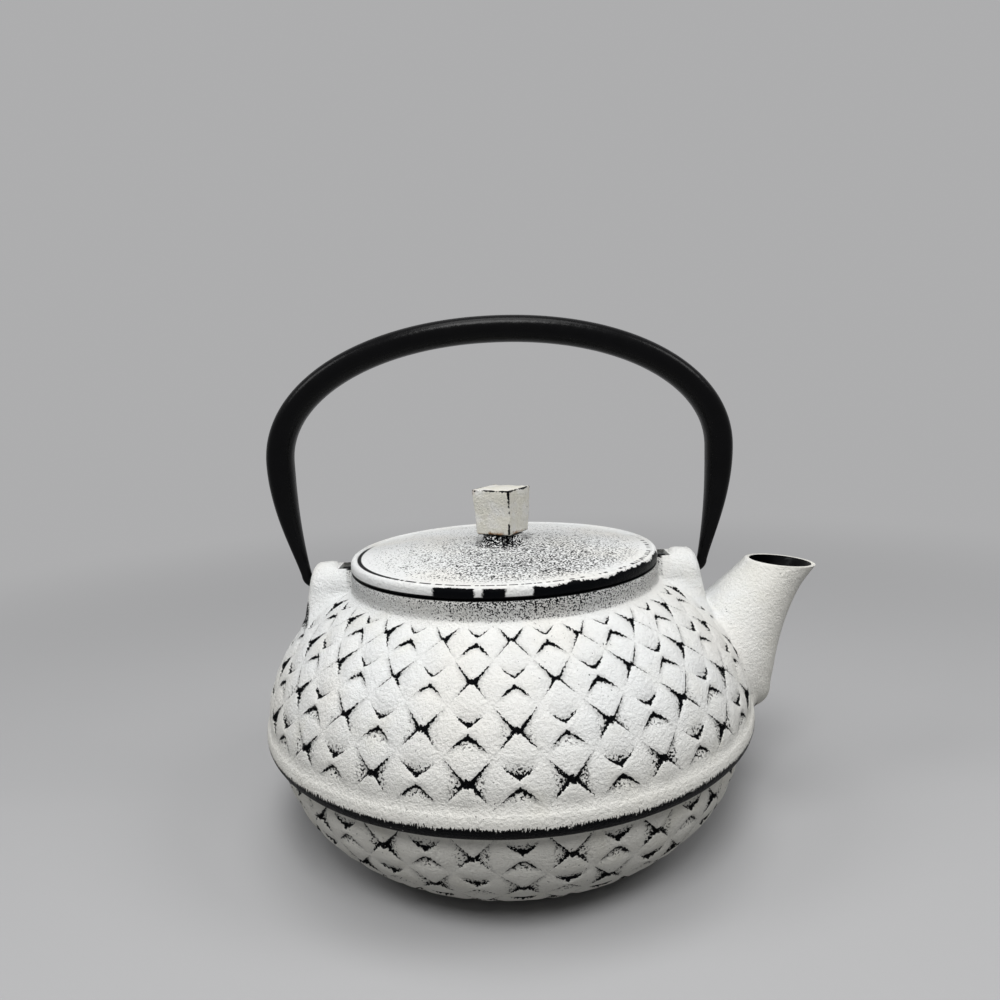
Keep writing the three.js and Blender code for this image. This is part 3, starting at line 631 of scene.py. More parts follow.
cutters = {
    "cavity": closed_skin(turned_rows(cavity_line, full_turn(120))),
    "bore": closed_skin(spout_rows(count=30, across=48, **spout_wall, overrun=bore_overrun)),
}
for side in (-1, 1):
    for name, outline, end in (("hole", hole_outline, past_ears), ("room", room_outline, ear_inner)):
        cutters[f"{name}_{side + 1}"] = closed_skin(bar_rows(outline[::side], side * recess_end, side * end))


def keep_result(body):
    """Turns what an object's modifiers make into its own plain mesh."""
    bpy.context.view_layer.update()
    finished = bpy.data.meshes.new_from_object(body.evaluated_get(bpy.context.evaluated_depsgraph_get()))
    body.modifiers.clear()
    body.data = finished
    return body


def join_and_cut(body, joined, cut):
    """Joins closed meshes to a body and cuts others out of it; faces keep their materials."""
    helpers = []
    for name, mesh in joined + cut:
        helper = link_object(name, mesh)
        modifier = body.modifiers.new(name, "BOOLEAN")
        modifier.solver = "MANIFOLD"
        modifier.operation = "UNION" if (name, mesh) in joined else "DIFFERENCE"
        modifier.object = helper
        helpers.append(helper)
    keep_result(body)
    for helper in helpers:
        bpy.data.objects.remove(helper)


# No weave, and a height over the ridge that its black band doesn't reach
unwoven = {"weave": (0.0, 0.0), "skin": (0.0, 40.0)}


def slotted_mesh(name, points, faces, materials, slot=0):
    """A mesh without weave, with all its faces in one of its material slots."""
    mesh = make_mesh(name, points, faces, unwoven)
    for material in materials:
        mesh.materials.append(material)
    mesh.polygons.foreach_set("material_index", [slot] * len(mesh.polygons))
    return mesh


def shade(mesh, sharp_from):
    """Smooth shading but for the edges that bend by more than an angle in degrees."""
    mesh.shade_smooth()
    mesh.set_sharp_from_angle(angle=math.radians(sharp_from))


paint_white = (0.81, 0.80, 0.765, 1)
paint_cool = (0.80, 0.81, 0.805, 1)
paint_cream = (0.76, 0.74, 0.66, 1)
# Grey for thin paint over the black, and for painted shade on the collar and beside the weave's marks
thin_paint_and_shade_grey = (0.36, 0.36, 0.35, 1)
enamel_black = (0.0015, 0.0018, 0.0025, 1)
enamel_deep = (0.001, 0.001, 0.0012, 1)
enamel_light = (0.0025, 0.0025, 0.003, 1)
paint_roughness = 0.74
rubbed_roughness = 0.38
paint_specular = 0.04
enamel_specular = 0.10
strip_width = 7.1
column_width = 10.4


def place_in_mm(start):
    """The place on the object in millimetres."""
    return start.node("ShaderNodeTexCoord", output="Object").scaled(1 / mm)


def coat(start, surface, height, depth, strength, sockets):
    """Ends a material in a surface with a bump, from a height from 0 to 1 and a depth in millimetres."""
    bump = start.node("ShaderNodeBump", {}, {"Strength": strength, "Distance": mm * depth, "Height": height})
    shader = start.node("ShaderNodeBsdfPrincipled", {}, {**sockets, "Normal": bump})
    start.tree.links.new(shader.socket, surface.inputs["Surface"])


def finish_paint(start, surface, bare_and_shade, colour, height, depth):
    """Chalky paint of a colour over black enamel, which shows where the mask is 1: where the enamel is bare,
    and in black lines of painted shade.
    """
    shown = bare_and_shade.mix(colour, enamel_black)
    dullness = paint_roughness - bare_and_shade * (paint_roughness - rubbed_roughness)
    sockets = {"Base Color": shown, "Roughness": dullness, "Specular IOR Level": paint_specular}
    coat(start, surface, height, depth, 1.0, sockets)


def weave_marks(place, u, v):
    """Where the paint has missed the sunk tips of the strips, and the grey beside them, which is thin paint
    and painted shade.
    """
    # Lines of the lattice run where a and b are whole; strips cross where both are even or both odd
    a = u - v + (place.noise(1.9, 3.0, 0.6) - 0.5) * 0.13
    b = u + v + (place.noise(2.1, 3.0, 0.6) - 0.5) * 0.13
    even_a = a.maths("PINGPONG", 1.0)
    even_b = b.maths("PINGPONG", 1.0)
    odd = (even_a + even_b).maths("GREATER_THAN", 1.0)
    to_a = (even_a + odd * (1 - even_a * 2)) * strip_width
    to_b = (even_b + odd * (1 - even_b * 2)) * strip_width
    near = to_a.least(to_b)
    far = to_a.most(to_b)
    level = 1 - (a.maths("FLOOR") + b.maths("FLOOR")).maths("FLOORED_MODULO", 2.0)
    sunk = 1 - (level - odd).size()
    middle_a = ((a - odd) * 0.5).maths("ROUND") * 2 + odd
    middle_b = ((b - odd) * 0.5).maths("ROUND") * 2 + odd
    below = (v - (middle_b - middle_a) * 0.5).step(-0.02, 0.02)

    # Each crossing has its own wear, a little heavier on the lower rows
    chance = place.node("ShaderNodeTexWhiteNoise", {}, {"Vector": place.spot(middle_a, middle_b)})
    lower = v.step(1.5, 4.2)
    on_bowl = v.step(5.0, 5.8)
    more = (chance - 0.5) * 0.26 + (place.noise(0.10) - 0.5) * 0.5 + lower * 0.08 + on_bowl * 0.02 + 0.14
    ragged = (place.noise(1.7, 3.0, 0.6) - 0.5) * (lower * 0.5 + on_bowl * 0.35 + 1.25)
    reach = 3.6 + below * 0.9 + odd * (1.3 - below * 1.8) + v.step(2.4, 1.2) * 0.7
    arm = (1 - (far / reach).maths("POWER", 2.0)) * (0.72 - odd * 0.26)
    arm = arm + far.step(2.2, 0.0) * (0.80 - odd * 0.48 + lower * 0.1)
    mark = (arm + more - near + ragged).step(-0.04, 0.05)
    bridge = (near - (1 - odd) * far.step(3.2, 0.3) * 0.42 + ragged * 0.25).step(-0.06, 0.02)
    inward = (to_a + to_b) * 0.707
    dots = (place.noise(1.9, 1.0) + (more + lower) * 0.06).step(0.63, 0.66) * inward.step(4.2, 2.6)
    under_tip = to_a.hypot(to_b) - ragged - more * 0.5 - lower * 0.3
    under_tip = odd * under_tip.step(0.50, 0.42)
    missed = (mark.most(dots * v.step(2.4, 3.6)) * bridge * sunk).most(under_tip)
    # A grey ring in the sunk cells beside each mark: thin paint, and painted shade beside the tips that stand
    # over
    thin_and_shade = (arm + more - near).step(-1.3, 0.1) * bridge * sunk
    return missed, thin_and_shade


def pot_paint():
    material, start, surface = new_finish("pot_paint")
    place = place_in_mm(start)
    x, y, z = place.parts()
    radius = x.hypot(y)
    u, v, _ = start.node("ShaderNodeUVMap", {"uv_map": "weave"}).parts()
    strength, above, _ = start.node("ShaderNodeUVMap", {"uv_map": "skin"}).parts()
    missed, thin_and_shade = weave_marks(place, u, v)
    woven = strength.step(0.25, 0.6)

    # The ridge is black from its crest down, with an edge of fine upright strokes
    round_ridge = u * column_width
    strokes = start.spot(round_ridge, above * 0.3).noise(2.3, 2.0, 0.7)
    drift = place.noise(0.12, 1.0)
    band = (above + (strokes - 0.5) * 3.2 + (drift - 0.5) * 1.1).step(0.10, -0.10)
    band = band * (above + (strokes - 0.5) * 0.8).step(-3.6, -3.2)
    chips = start.spot(round_ridge, above).noise(0.9, 2.0, 0.6).step(0.71, 0.73)
    band = band * (1 - chips * above.step(-1.2, -1.9))

    # The collar is thinly painted, so the iron's grain shows through it. A black line along its top rim is
    # painted shade in the gap under the lid.
    at_collar = radius.step(collar_radius + 1.7, collar_radius + 0.9)
    on_collar = z.step(collar_root_height + 0.2, collar_root_height + 0.9) * at_collar
    toward_top = z.step(collar_top - 3.0, collar_top - 0.5)
    front = (x - 8).size().step(34.0, 8.0) * y.step(0.0, -20.0)
    grain = place.noise(2.9, 2.0, 0.55)
    speck = on_collar * (grain + toward_top * 0.05 + front * 0.07).step(0.615, 0.65)
    # Painted shade: a black line along the collar's top rim, in the gap under the lid's bead
    rim = z.step(collar_top - 0.30, collar_top - 0.12) * at_collar
    under = z.step(1.4, 0.4)
    pits = place.noise(1.9, 1.0).step(0.72, 0.75) * place.noise(0.10, 1.0).step(0.5, 0.65) * 0.8

    # One ear is rubbed through on its outer edge
    rubbed = x.step(-50.8, -51.5) * (z - 59 + (grain - 0.5) * 5).size().step(3.4, 2.4) * y.step(2.5, 0.5)
    # Black where the enamel is bare, and in the line of painted shade along the collar's rim
    bare_and_shade = (missed * woven).most(band, speck, rim, under, pits, rubbed * (grain + 0.08).step(0.45, 0.52))

    # The paint is cooler in tone towards the top, and creamier and a little darker towards the bottom and on
    # the spout
    low = z.step(54.0, 24.0)
    on_spout = x.step(60.0, 70.0)
    cool = (1 - low) * (1 - on_spout) * place.noise(0.045, 3.0).step(0.3, 0.6)
    colour = cool.mix(paint_white, paint_cool)
    cream = low * 0.35 + on_spout * 0.3 + place.noise(0.09).step(0.5, 0.75) * 0.35
    colour = cream.least(1.0).mix(colour, paint_cream)
    # The collar is greyed, partly for its thin paint and partly as painted shade under the lid's edge
    colour = (on_collar * 0.42).mix(colour, thin_paint_and_shade_grey)
    # Grey mottles in the paint's sand, and painted shade in the grey ring beside the weave's marks
    sand = place.noise(1.3, 3.0, 0.65)
    veil_and_shade = sand.step(0.50, 0.72) * 0.14 + thin_and_shade * woven * (sand.step(0.35, 0.6) * 0.30 + 0.12)
    colour = veil_and_shade.least(1.0).mix(colour, thin_paint_and_shade_grey)
    height = place.noise(1.5, 4.0, 0.7) + place.noise(0.35) * 0.5 - bare_and_shade * 0.2 + strokes * band * 0.3
    finish_paint(start, surface, bare_and_shade, colour, height, 0.6)
    return material


def black_enamel(name, roughness):
    """Satin black enamel on iron, a little uneven."""
    material, start, surface = new_finish(name)
    place = place_in_mm(start)
    height = place.noise(0.5, 3.0, 0.6)
    tint = place.noise(0.2).mix(enamel_deep, enamel_light)
    gloss = place.noise(0.3, 3.0) * 0.16 + (roughness - 0.08)
    sockets = {"Base Color": tint, "Roughness": gloss, "Specular IOR Level": enamel_specular}
    coat(start, surface, height, 0.15, 0.5, sockets)
    return material


pot_finishes = [pot_paint(), black_enamel("pot_enamel", 0.28)]
for material in pot_finishes:
    skin_mesh.materials.append(material)
pot = link_object("pot_casting", skin_mesh)
joined = [(name, slotted_mesh(name, *solid[:2], pot_finishes)) for name, solid in solids.items()]
for side in (-1, 1):
    web_ends = side * (collar_radius - web_in_collar), side * (ear_inner + web_in_ear)
    web = closed_skin(bar_rows(web_outline(), *web_ends))
    joined.append((f"web_{side + 1}", slotted_mesh(f"web_{side + 1}", *web, pot_finishes)))
# Only the rooms of the hooks' tips are painted; the cavity, the bore and the holes are bare enamel
cut = []
for name, cutter in cutters.items():
    slot = 0 if name.startswith("room") else 1
    cut.append((name, slotted_mesh(name, *cutter, pot_finishes, slot)))
join_and_cut(pot, joined, cut)
shade(pot.data, sharp_from=68)
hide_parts("pot")
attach(pot, "pot")


# Bail. One forged and black-enamelled iron bow, oval in section, that thins down to a round hook at
# each end. The hooks pass through the ears from outside and turn up behind them.
bow_half = 57.5
bow_widest = 32.2
bow_rise = 64.6
bow_squareness = 2.08
bow_thickness = 6.8
bow_width = 8.4
hook_shank = 53.0
hook_bend = 2.2
hook_tip_x = 42.0
leg_flare = 1.6
blunt_end = (0.45, 0.75, 0.92, 0.98)


def bail_line():
    """The bail's centre line in the XZ plane, from the left hook's tip to the right one's."""
    sweep = np.linspace(np.pi / 2, 0, 70)
    bow = np.column_stack([
        bow_half * np.cos(sweep).clip(0) ** (2 / bow_squareness),
        hinge_height + bow_widest + (bow_rise - bow_widest) * np.sin(sweep) ** (2 / bow_squareness),
    ])
    corners = np.array([
        [bow_half, hinge_height + bow_widest],
        [bow_half, hinge_height + bow_widest * 0.6],
        [hook_shank + leg_flare, hinge_height + bow_widest * 0.3],
        [hook_shank, hinge_height + hook_bend],
    ])
    share = np.linspace(0, 1, 40)[1:, None]
    leg = (
        (1 - share) ** 3 * corners[0]
        + 3 * share * (1 - share) ** 2 * corners[1]
        + 3 * share**2 * (1 - share) * corners[2]
        + share**3 * corners[3]
    )
    bend = np.radians(np.linspace(0, -90, 9))[1:]
    outer_bend = arc(bend, (hook_shank - hook_bend, hinge_height + hook_bend), hook_bend)
    inner_bend = arc(bend - np.pi / 2, (hook_tip_x + hook_radius, hinge_height + hook_radius), hook_radius)
    tip = [[hook_tip_x, hinge_height + hook_tip_height - under] for under in (1.8, 0.8, 0.3, 0.1, 0)]
    half = np.vstack([bow, leg, outer_bend, inner_bend, tip])
    return np.vstack([half[:0:-1] * (-1, 1), half])


def new_tree(name, inputs):
    """A geometry nodes tree with a mesh input, named number inputs and a mesh output."""
    tree = bpy.data.node_groups.new(name, "GeometryNodeTree")
    tree.interface.new_socket("Geometry", in_out="INPUT", socket_type="NodeSocketGeometry")
    for label, kind in inputs.items():
        tree.interface.new_socket(label, in_out="INPUT", socket_type=kind)
    tree.interface.new_socket("Geometry", in_out="OUTPUT", socket_type="NodeSocketGeometry")
    source = tree.nodes.new("NodeGroupInput")
    return tree, {socket.name: Wire(tree, socket) for socket in source.outputs if socket.name}


def put(geometry, spot):
    """Geometry with its points put at places."""
    return geometry.node("GeometryNodeSetPosition", {}, {"Geometry": geometry, "Position": spot})


def circle(start, sides, radius):
    return start.node("GeometryNodeCurvePrimitiveCircle", {}, {"Resolution": sides, "Radius": radius})


def swept(lines, profile, **more):
    """A mesh swept along lines with a profile."""
    path = lines.node("GeometryNodeMeshToCurve", {}, {"Mesh": lines})
    inputs = {"Curve": path, "Profile Curve": profile, "Fill Caps": True, **more}
    return lines.node("GeometryNodeCurveToMesh", {}, inputs)


def end_tree(result, material):
    """Ends a tree in plain geometry with one material."""
    plain_mesh = result.node("GeometryNodeRealizeInstances", {}, {"Geometry": result})
    coated = result.node("GeometryNodeSetMaterial", {}, {"Geometry": plain_mesh, "Material": material})
    sink = result.tree.nodes.new("NodeGroupOutput")
    result.tree.links.new(coated.socket, sink.inputs[0])


def bake_tree(piece, tree, values):
    """Sets the tree's named inputs on a piece and turns what it makes into the piece's own plain mesh."""
    modifier = piece.modifiers.new(tree.name, "NODES")
    modifier.node_group = tree
    for item in tree.interface.items_tree:
        if item.in_out == "INPUT" and item.name in values:
            modifier[item.identifier] = values[item.name]
    return keep_result(piece)


bail_path = bail_line()
up_leg = (bail_path[:, 1] - hinge_height - hook_bend) / (bow_widest - hook_bend)
growth = smooth_step(0, 1, up_leg) ** 0.7
blunt = np.ones(len(bail_path))
blunt[:4] = blunt_end
blunt[-4:] = blunt_end[::-1]
bail_mesh = bpy.data.meshes.new("bail_path")
path_links = [(i, i + 1) for i in range(len(bail_path) - 1)]
bail_mesh.from_pydata([(x * mm, 0, z * mm) for x, z in bail_path.tolist()], path_links, [])
thickness = (hook_radius + (bow_thickness / 2 - hook_radius) * growth) * blunt
broadness = (hook_radius + (bow_width / 2 - hook_radius) * growth) * blunt
for label, values in {"thickness": thickness * mm, "broadness": broadness / thickness}.items():
    layer = bail_mesh.attributes.new(label, "FLOAT", "POINT")
    layer.data.foreach_set("value", values.astype(np.float32))
bail_tree, given = new_tree("forged_bow", {"Sides": "NodeSocketInt", "Flatness": "NodeSocketFloat"})
source = given["Geometry"]
thick, broad = (
    source.node("GeometryNodeInputNamedAttribute", {"data_type": "FLOAT"}, {"Name": label})
    for label in ("thickness", "broadness")
)
spot = source.node("GeometryNodeInputPosition")
spot_x, spot_y, spot_z = spot.parts()
flatness = given["Flatness"]
roundness = spot_x.size().maths("POWER", flatness) + spot_y.size().maths("POWER", flatness)
reach = roundness.maths("POWER", flatness.maths("POWER", -1.0) * -1.0)
profile = put(circle(source, given["Sides"], 1.0), spot.scaled(reach))
bow = swept(source, profile, Scale=thick)
bow = put(bow, source.spot(spot_x, spot_y * broad, spot_z))
end_tree(bow, black_enamel("bail_enamel", 0.25))
bail = bake_tree(link_object("bail_bow", bail_mesh), bail_tree, {"Sides": 40, "Flatness": 2.5})
bail.data.shade_smooth()
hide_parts("bail")
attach(bail, "bail")


# Lid. A cast iron disc with a rounded bead round its edge, a low dome and a boss for the knob, and a
# skirt that drops into the basket. It is painted like the pot, and its edge is worn black in places.
lid_radius = 40.2
lid_seat = 69.8
lid_bead_rise = 2.8
lid_crease_radius = 38.2
lid_crease_depth = 0.35
lid_dome_rise = 1.9
lid_under = 70.55
lid_skirt_bottom = 64.5
skirt_outer = 32.1
skirt_inner = 29.5
boss_radius = 5.2
boss_foot_radius = 7.5
boss_top = 76.65
boss_foot_rise = 1.9
bead_drop = 1.45
screw_hole_radius = 2.3
crease_height = lid_seat + lid_bead_rise - lid_crease_depth
lid_centre = crease_height + lid_dome_rise
# Worn patches on the bead: first and last angle, how far up they reach from the seat, and how ragged
worn_patches = (
    (-0.41, -0.17, 2.4, 0.3),
    (-0.125, 0.0, 2.35, 0.3),
    (0.15, 1.32, 2.35, 1.0),
    (2.0, 2.7, 1.4, 1.0),
)


def ring_piece(name, line, across, material):
    """A piece of its own, where a closed line of radius and height is turned about the Z axis."""
    points = turned_rows(line, full_turn(across)).reshape(-1, 3)
    index = np.arange(len(points)).reshape(-1, across)
    down = np.roll(index, -1, axis=0)
    corners = np.stack([index, np.roll(index, -1, axis=1), np.roll(down, -1, axis=1), down], axis=2)
    mesh = make_mesh(name, points, facing_out(points, corners.reshape(-1, 4).tolist()))
    mesh.materials.append(material)
    shade(mesh, sharp_from=50)
    return link_object(name, mesh)


def lid_paint():
    material, start, surface = new_finish("lid_paint")
    place = place_in_mm(start)
    x, y, z = place.parts()
    radius = x.hypot(y)
    turn = x.maths("ARCTAN2", y * -1.0)
    ragged = place.noise(1.0, 3.0, 0.65) - 0.5

    # Fine black stipple in the dome's grain, thickest in front and to the right of the knob
    from_thickest = (x - 7).hypot(y + 16)
    share = from_thickest.step(46.0, 6.0) * 0.12 + place.noise(0.06) * 0.06
    on_boss = radius.step(8.5, 6.5) * (y + x * 0.7).step(1.0, -4.0)
    dome = radius.step(lid_crease_radius - 0.8, lid_crease_radius - 5.0)
    stipple = (place.noise(1.9, 2.0, 0.55) + share + on_boss * 0.08).step(0.660, 0.676) * dome

    # The groove inside the bead is a dark line at the left that breaks up into dots to the front
    off_groove = (radius - (lid_crease_radius - 0.2)).size()
    dots = start.spot(turn * 38.0, 0.0).noise(0.75, 1.0)
    dots = dots + turn.step(-0.6, -1.1) * 0.25 - turn.step(0.0, 0.6) * 0.08
    groove = off_groove.step(0.65, 0.35) * dots.step(0.42, 0.48) * y.step(14.0, 4.0)

    # The bead's outer face is worn to the black in two short patches and two long ragged ones
    worn = 0.0
    wander = (place.noise(0.16) - 0.5) * 1.6
    edge = turn + ragged * 0.04
    for first, last, top, loose in worn_patches:
        patch = edge.step(first - 0.006, first + 0.006) * edge.step(last + 0.006, last - 0.006)
        up_here = z + (ragged * 1.8 + wander) * loose
        worn = patch * up_here.step(lid_seat + top + 0.05, lid_seat + top - 0.05) + worn
    worn = worn * radius.step(lid_crease_radius - 0.1, lid_crease_radius + 0.3)
    # Painted shade: a black line along the bead's underside, for the gap between the lid and the collar
    under = z.step(lid_seat + 0.62, lid_seat + 0.45)
    bare_and_shade = stipple.most(groove, worn, under)
    colour = place.noise(0.05).step(0.25, 0.6).mix(paint_white, paint_cool)
    veil_and_shade = place.noise(1.2, 3.0, 0.65).step(0.47, 0.75) * 0.22
    colour = veil_and_shade.mix(colour, thin_paint_and_shade_grey)
    height = place.noise(1.5, 4.0, 0.7) * (1 - worn * 0.7) + place.noise(0.35) * 0.4 - bare_and_shade * 0.2
    finish_paint(start, surface, bare_and_shade, colour, height, 0.5)
    return material


bead = lid_radius - lid_crease_radius
bead_top = lid_seat + lid_bead_rise
lid_bead_turn = np.radians(np.linspace(-5, 128, 12))
bead_line = arc(lid_bead_turn, (lid_radius - bead * 0.5, bead_top - bead_drop), (bead * 0.5, bead_drop))
dome_share = np.linspace(1, boss_foot_radius / lid_crease_radius, 22)
dome_line = np.column_stack([lid_crease_radius * dome_share, lid_centre - lid_dome_rise * dome_share**2])
boss_turn = np.linspace(0, np.pi / 2, 8)[1:]
boss_line = arc(
    -np.pi / 2 - boss_turn,
    (boss_foot_radius, lid_centre + boss_foot_rise),
    (boss_foot_radius - boss_radius, boss_foot_rise),
)
lid_line = np.vstack([
    [[lid_radius - 0.4, lid_seat], [lid_radius - 0.1, lid_seat + 0.15], [lid_radius, lid_seat + 0.4]],
    bead_line,
    [[lid_crease_radius + 0.25, crease_height + 0.02]],
    dome_line[1:],
    boss_line,
    [[boss_radius, boss_top - 0.25], [boss_radius - 0.25, boss_top], [screw_hole_radius, boss_top]],
    [[screw_hole_radius, lid_under], [skirt_inner - 1.0, lid_under], [skirt_inner - 0.3, lid_under - 0.3]],
    [[skirt_inner, lid_under - 1.0], [skirt_inner, lid_skirt_bottom + 0.3]],
    [[skirt_inner + 0.3, lid_skirt_bottom], [skirt_outer - 0.3, lid_skirt_bottom]],
    [[skirt_outer, lid_skirt_bottom + 0.3], [skirt_outer, lid_seat - 0.5], [skirt_outer + 0.3, lid_seat]],
])
lid = ring_piece("lid_disc", lid_line, 288, lid_paint())
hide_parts("lid")
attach(lid, "lid")


# Knob. A small cast block, nearly square and wider at its top, painted and rubbed along its edges.
# It stands a little turned on the lid's boss, held by the screw from below.
knob_foot = 76.95
knob_height = 11.9
knob_top_side = 11.4
knob_foot_side = 10.1
knob_turn = math.radians(-31.9)
screw_hole_depth = 8.0
knob_edge = 0.4
knob_cells = 20
rust_brown = (0.32, 0.17, 0.07, 1)


def knob_block():
    """A block's points and faces, with soft uneven edges and corners."""
    share = np.linspace(-1, 1, knob_cells + 1)
    share = share * (1.5 - 0.5 * share * share)
    points, faces = [], []
    for axis in range(3):
        for side in (-1, 1):
            first = len(points)
            points += [np.roll((side, one, two), axis) for one in share for two in share]
            for i in range(knob_cells):
                for j in range(knob_cells):
                    at = first + i * (knob_cells + 1) + j
                    corners = [at, at + knob_cells + 1, at + knob_cells + 2, at + 1]
                    faces.append(corners if side > 0 else corners[::-1])
    keys, back = np.unique(np.round(points, 6), axis=0, return_inverse=True)
    faces = [[int(back.ravel()[i]) for i in face] for face in faces]
    half = np.full(keys.shape, knob_height / 2)
    half[:, :2] = (knob_foot_side + (knob_top_side - knob_foot_side) * (keys[:, 2:] + 1) / 2) / 2
    full = keys * half
    core = np.clip(full, knob_edge - half, half - knob_edge)
    way = full - core
    size = np.linalg.norm(way, axis=1, keepdims=True)
    moved = core + way / np.maximum(size, 1e-9) * np.minimum(size, knob_edge)
    moved += 0.10 * np.sin(keys[:, [1, 2, 0]] * (5.3, 4.1, 6.7) + (0.4, 1.9, 2.7)) * (np.abs(keys) > 0.9)
    moved[:, 2] += knob_height / 2
    widest = knob_top_side / 2
    moved = np.clip(moved, (-widest, -widest, 0), (widest, widest, knob_height))
    cosine, sine = math.cos(knob_turn), math.sin(knob_turn)
    moved[:, :2] = moved[:, :2] @ np.array([[cosine, sine], [-sine, cosine]])
    moved[:, 2] += knob_foot
    return moved, facing_out(moved, faces)


def knob_paint():
    material, start, surface = new_finish("knob_paint")
    place = place_in_mm(start)
    turned_back = {"Vector": place, "Angle": -knob_turn}
    own = start.node("ShaderNodeVectorRotate", {"rotation_type": "Z_AXIS"}, turned_back)
    x, y, z = own.parts()
    z = z - knob_foot
    half = z * ((knob_top_side - knob_foot_side) / 2 / knob_height) + knob_foot_side / 2
    to_x = half - x.size()
    to_y = half - y.size()
    to_top = knob_height - z
    ragged = place.noise(1.2, 3.0, 0.65) - 0.5

    # The paint is rubbed off in thin broken lines along the edges, most of all at the top corners
    upright = (to_x + to_y) * 0.7 + ragged * 0.7 + z.step(9.5, 11.5) * -0.12
    across_top = (to_top + to_x.least(to_y)) * 0.7 + ragged * 1.1
    corner = (to_x + to_y + to_top) * 0.5 + ragged * 0.8
    bare_and_shade = upright.step(0.17, 0.09).most(across_top.step(0.30, 0.20), corner.step(0.52, 0.40))
    bare_and_shade = bare_and_shade.most(place.noise(1.9, 2.0, 0.6).step(0.72, 0.74) * 0.8, (z + ragged * 0.6).step(0.32, 0.20))
    rust = (z + ragged * 2.0).step(1.3, 0.3) * place.noise(0.35, 1.0).step(0.45, 0.6)
    stain = (corner + place.noise(0.4) * 1.5).step(1.9, 1.2) * 0.25
    colour = place.noise(0.25, 3.0).step(0.3, 0.6).mix(paint_white, paint_cream)
    colour = rust.most(stain).mix(colour, rust_brown)
    veil_and_shade = place.noise(1.3, 3.0, 0.65).step(0.50, 0.75) * 0.18
    colour = veil_and_shade.mix(colour, thin_paint_and_shade_grey)
    height = place.noise(1.5, 4.0, 0.7) + place.noise(0.35) * 0.5 - bare_and_shade * 0.2
    finish_paint(start, surface, bare_and_shade, colour, height, 0.5)
    return material


knob_finishes = [knob_paint(), black_enamel("knob_bore", 0.5)]
knob = link_object("knob_block", slotted_mesh("knob_block", *knob_block(), knob_finishes))
hole_end = knob_foot + screw_hole_depth
hole_line = [[0, hole_end], [screw_hole_radius, hole_end - 1]]
hole_line += [[screw_hole_radius, knob_foot - 2], [0, knob_foot - 2]]
knob_hole = closed_skin(turned_rows(hole_line, full_turn(32)))
join_and_cut(knob, [], [("knob_hole", slotted_mesh("knob_hole", *knob_hole, knob_finishes, slot=1))])
shade(knob.data, sharp_from=50)
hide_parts("knob")
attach(knob, "lid")


# Screw and washer. A stainless pan-head screw with a slot comes up through a flat washer and the lid
# into the knob, and draws the knob down on its boss.
def turned_steel(name, tone, roughness, streaks):
    """Stainless steel turned on a lathe: fine rings round Z, a little uneven."""
    material, start, surface = new_finish(name)
    place = place_in_mm(start)
    x, y, z = place.parts()
    radius = x.hypot(y)
    rings = start.spot(radius * streaks, z * streaks).noise(1.0)
    dull = place.noise(0.4, 3.0)
    light, dark = (tone, tone, tone * 1.01, 1), (tone * 0.8, tone * 0.8, tone * 0.79, 1)
    gloss = rings * 0.14 + dull * 0.10 + (roughness - 0.12)
    sockets = {"Base Color": dull.step(0.3, 0.8).mix(light, dark), "Metallic": 1.0, "Roughness": gloss}
    coat(start, surface, rings, 0.02, 0.4, sockets)
    return material


def rounded(line, radii):
    """A closed line with its corners rounded to the radius given for each, 0 for a sharp one."""
    line = np.asarray(line, dtype=float)
    result = []
    for i, (corner, radius) in enumerate(zip(line, radii)):
        if not radius:
            result.append(corner)
            continue
        back = line[i - 1] - corner
        on = line[(i + 1) % len(line)] - corner
        back_length, on_length = np.linalg.norm(back), np.linalg.norm(on)
        back, on = back / back_length, on / on_length
        angle = math.acos(np.clip(back @ on, -1, 1))
        reach = min(radius / math.tan(angle / 2), back_length * 0.48, on_length * 0.48)
        for share in np.linspace(0, 1, 5):
            ends = (1 - share) ** 2 * (corner + back * reach) + share**2 * (corner + on * reach)
            result.append(ends + 2 * share * (1 - share) * corner)
    return np.array(result)


screw_radius = 2.0
head_radius = 4.0
head_height = 1.8
head_top = 69.15
head_bottom = head_top - head_height
screw_end = 83.95
thread_pitch = 0.7
thread_depth = 0.32
screw_steel = turned_steel("screw_steel", 0.62, 0.30, 6.0)
around = 32
thread_rows = 150
head_line = [[0, head_bottom], [1.4, head_bottom], [2.8, head_bottom + 0.05], [3.5, head_bottom + 0.35]]
head_line += [[3.85, head_bottom + 0.75], [head_radius, head_bottom + 1.15], [head_radius, head_top - 0.15]]
head_line += [[head_radius - 0.15, head_top], [screw_radius + 0.1, head_top]]
head_line += [[screw_radius - 0.05, head_top + 0.1]]
thread_heights = np.linspace(head_top + 0.4, screw_end - 0.3, thread_rows)
thread_line = np.column_stack([np.full(thread_rows, screw_radius), thread_heights])
screw_line = np.vstack([head_line, thread_line, [[screw_radius - 0.5, screw_end], [0, screw_end]]])
screw_rows = turned_rows(screw_line, full_turn(around))
lead = screw_line[:, 1:] / thread_pitch - np.arange(around) / around
cut_in = thread_depth * np.abs(2 * (lead % 1) - 1)
is_thread = np.zeros(len(screw_line))
is_thread[len(head_line):-2] = 1
is_thread *= np.clip((screw_end - 0.3 - screw_line[:, 1]) * 2, 0, 1)
screw_rows[:, :, :2] *= 1 - (cut_in * is_thread[:, None] / screw_radius)[:, :, None]
screw = link_object("screw_pan_head", slotted_mesh("screw_pan_head", *closed_skin(screw_rows), [screw_steel]))
slot_half = 0.5
slot_depth = 0.8
slot_end = 6
low, high = head_bottom - 1, head_bottom + slot_depth
slot_outline = [[-slot_half, low], [slot_half, low], [slot_half, high], [-slot_half, high]]
slot_skin = closed_skin(bar_rows(slot_outline, -slot_end, slot_end))
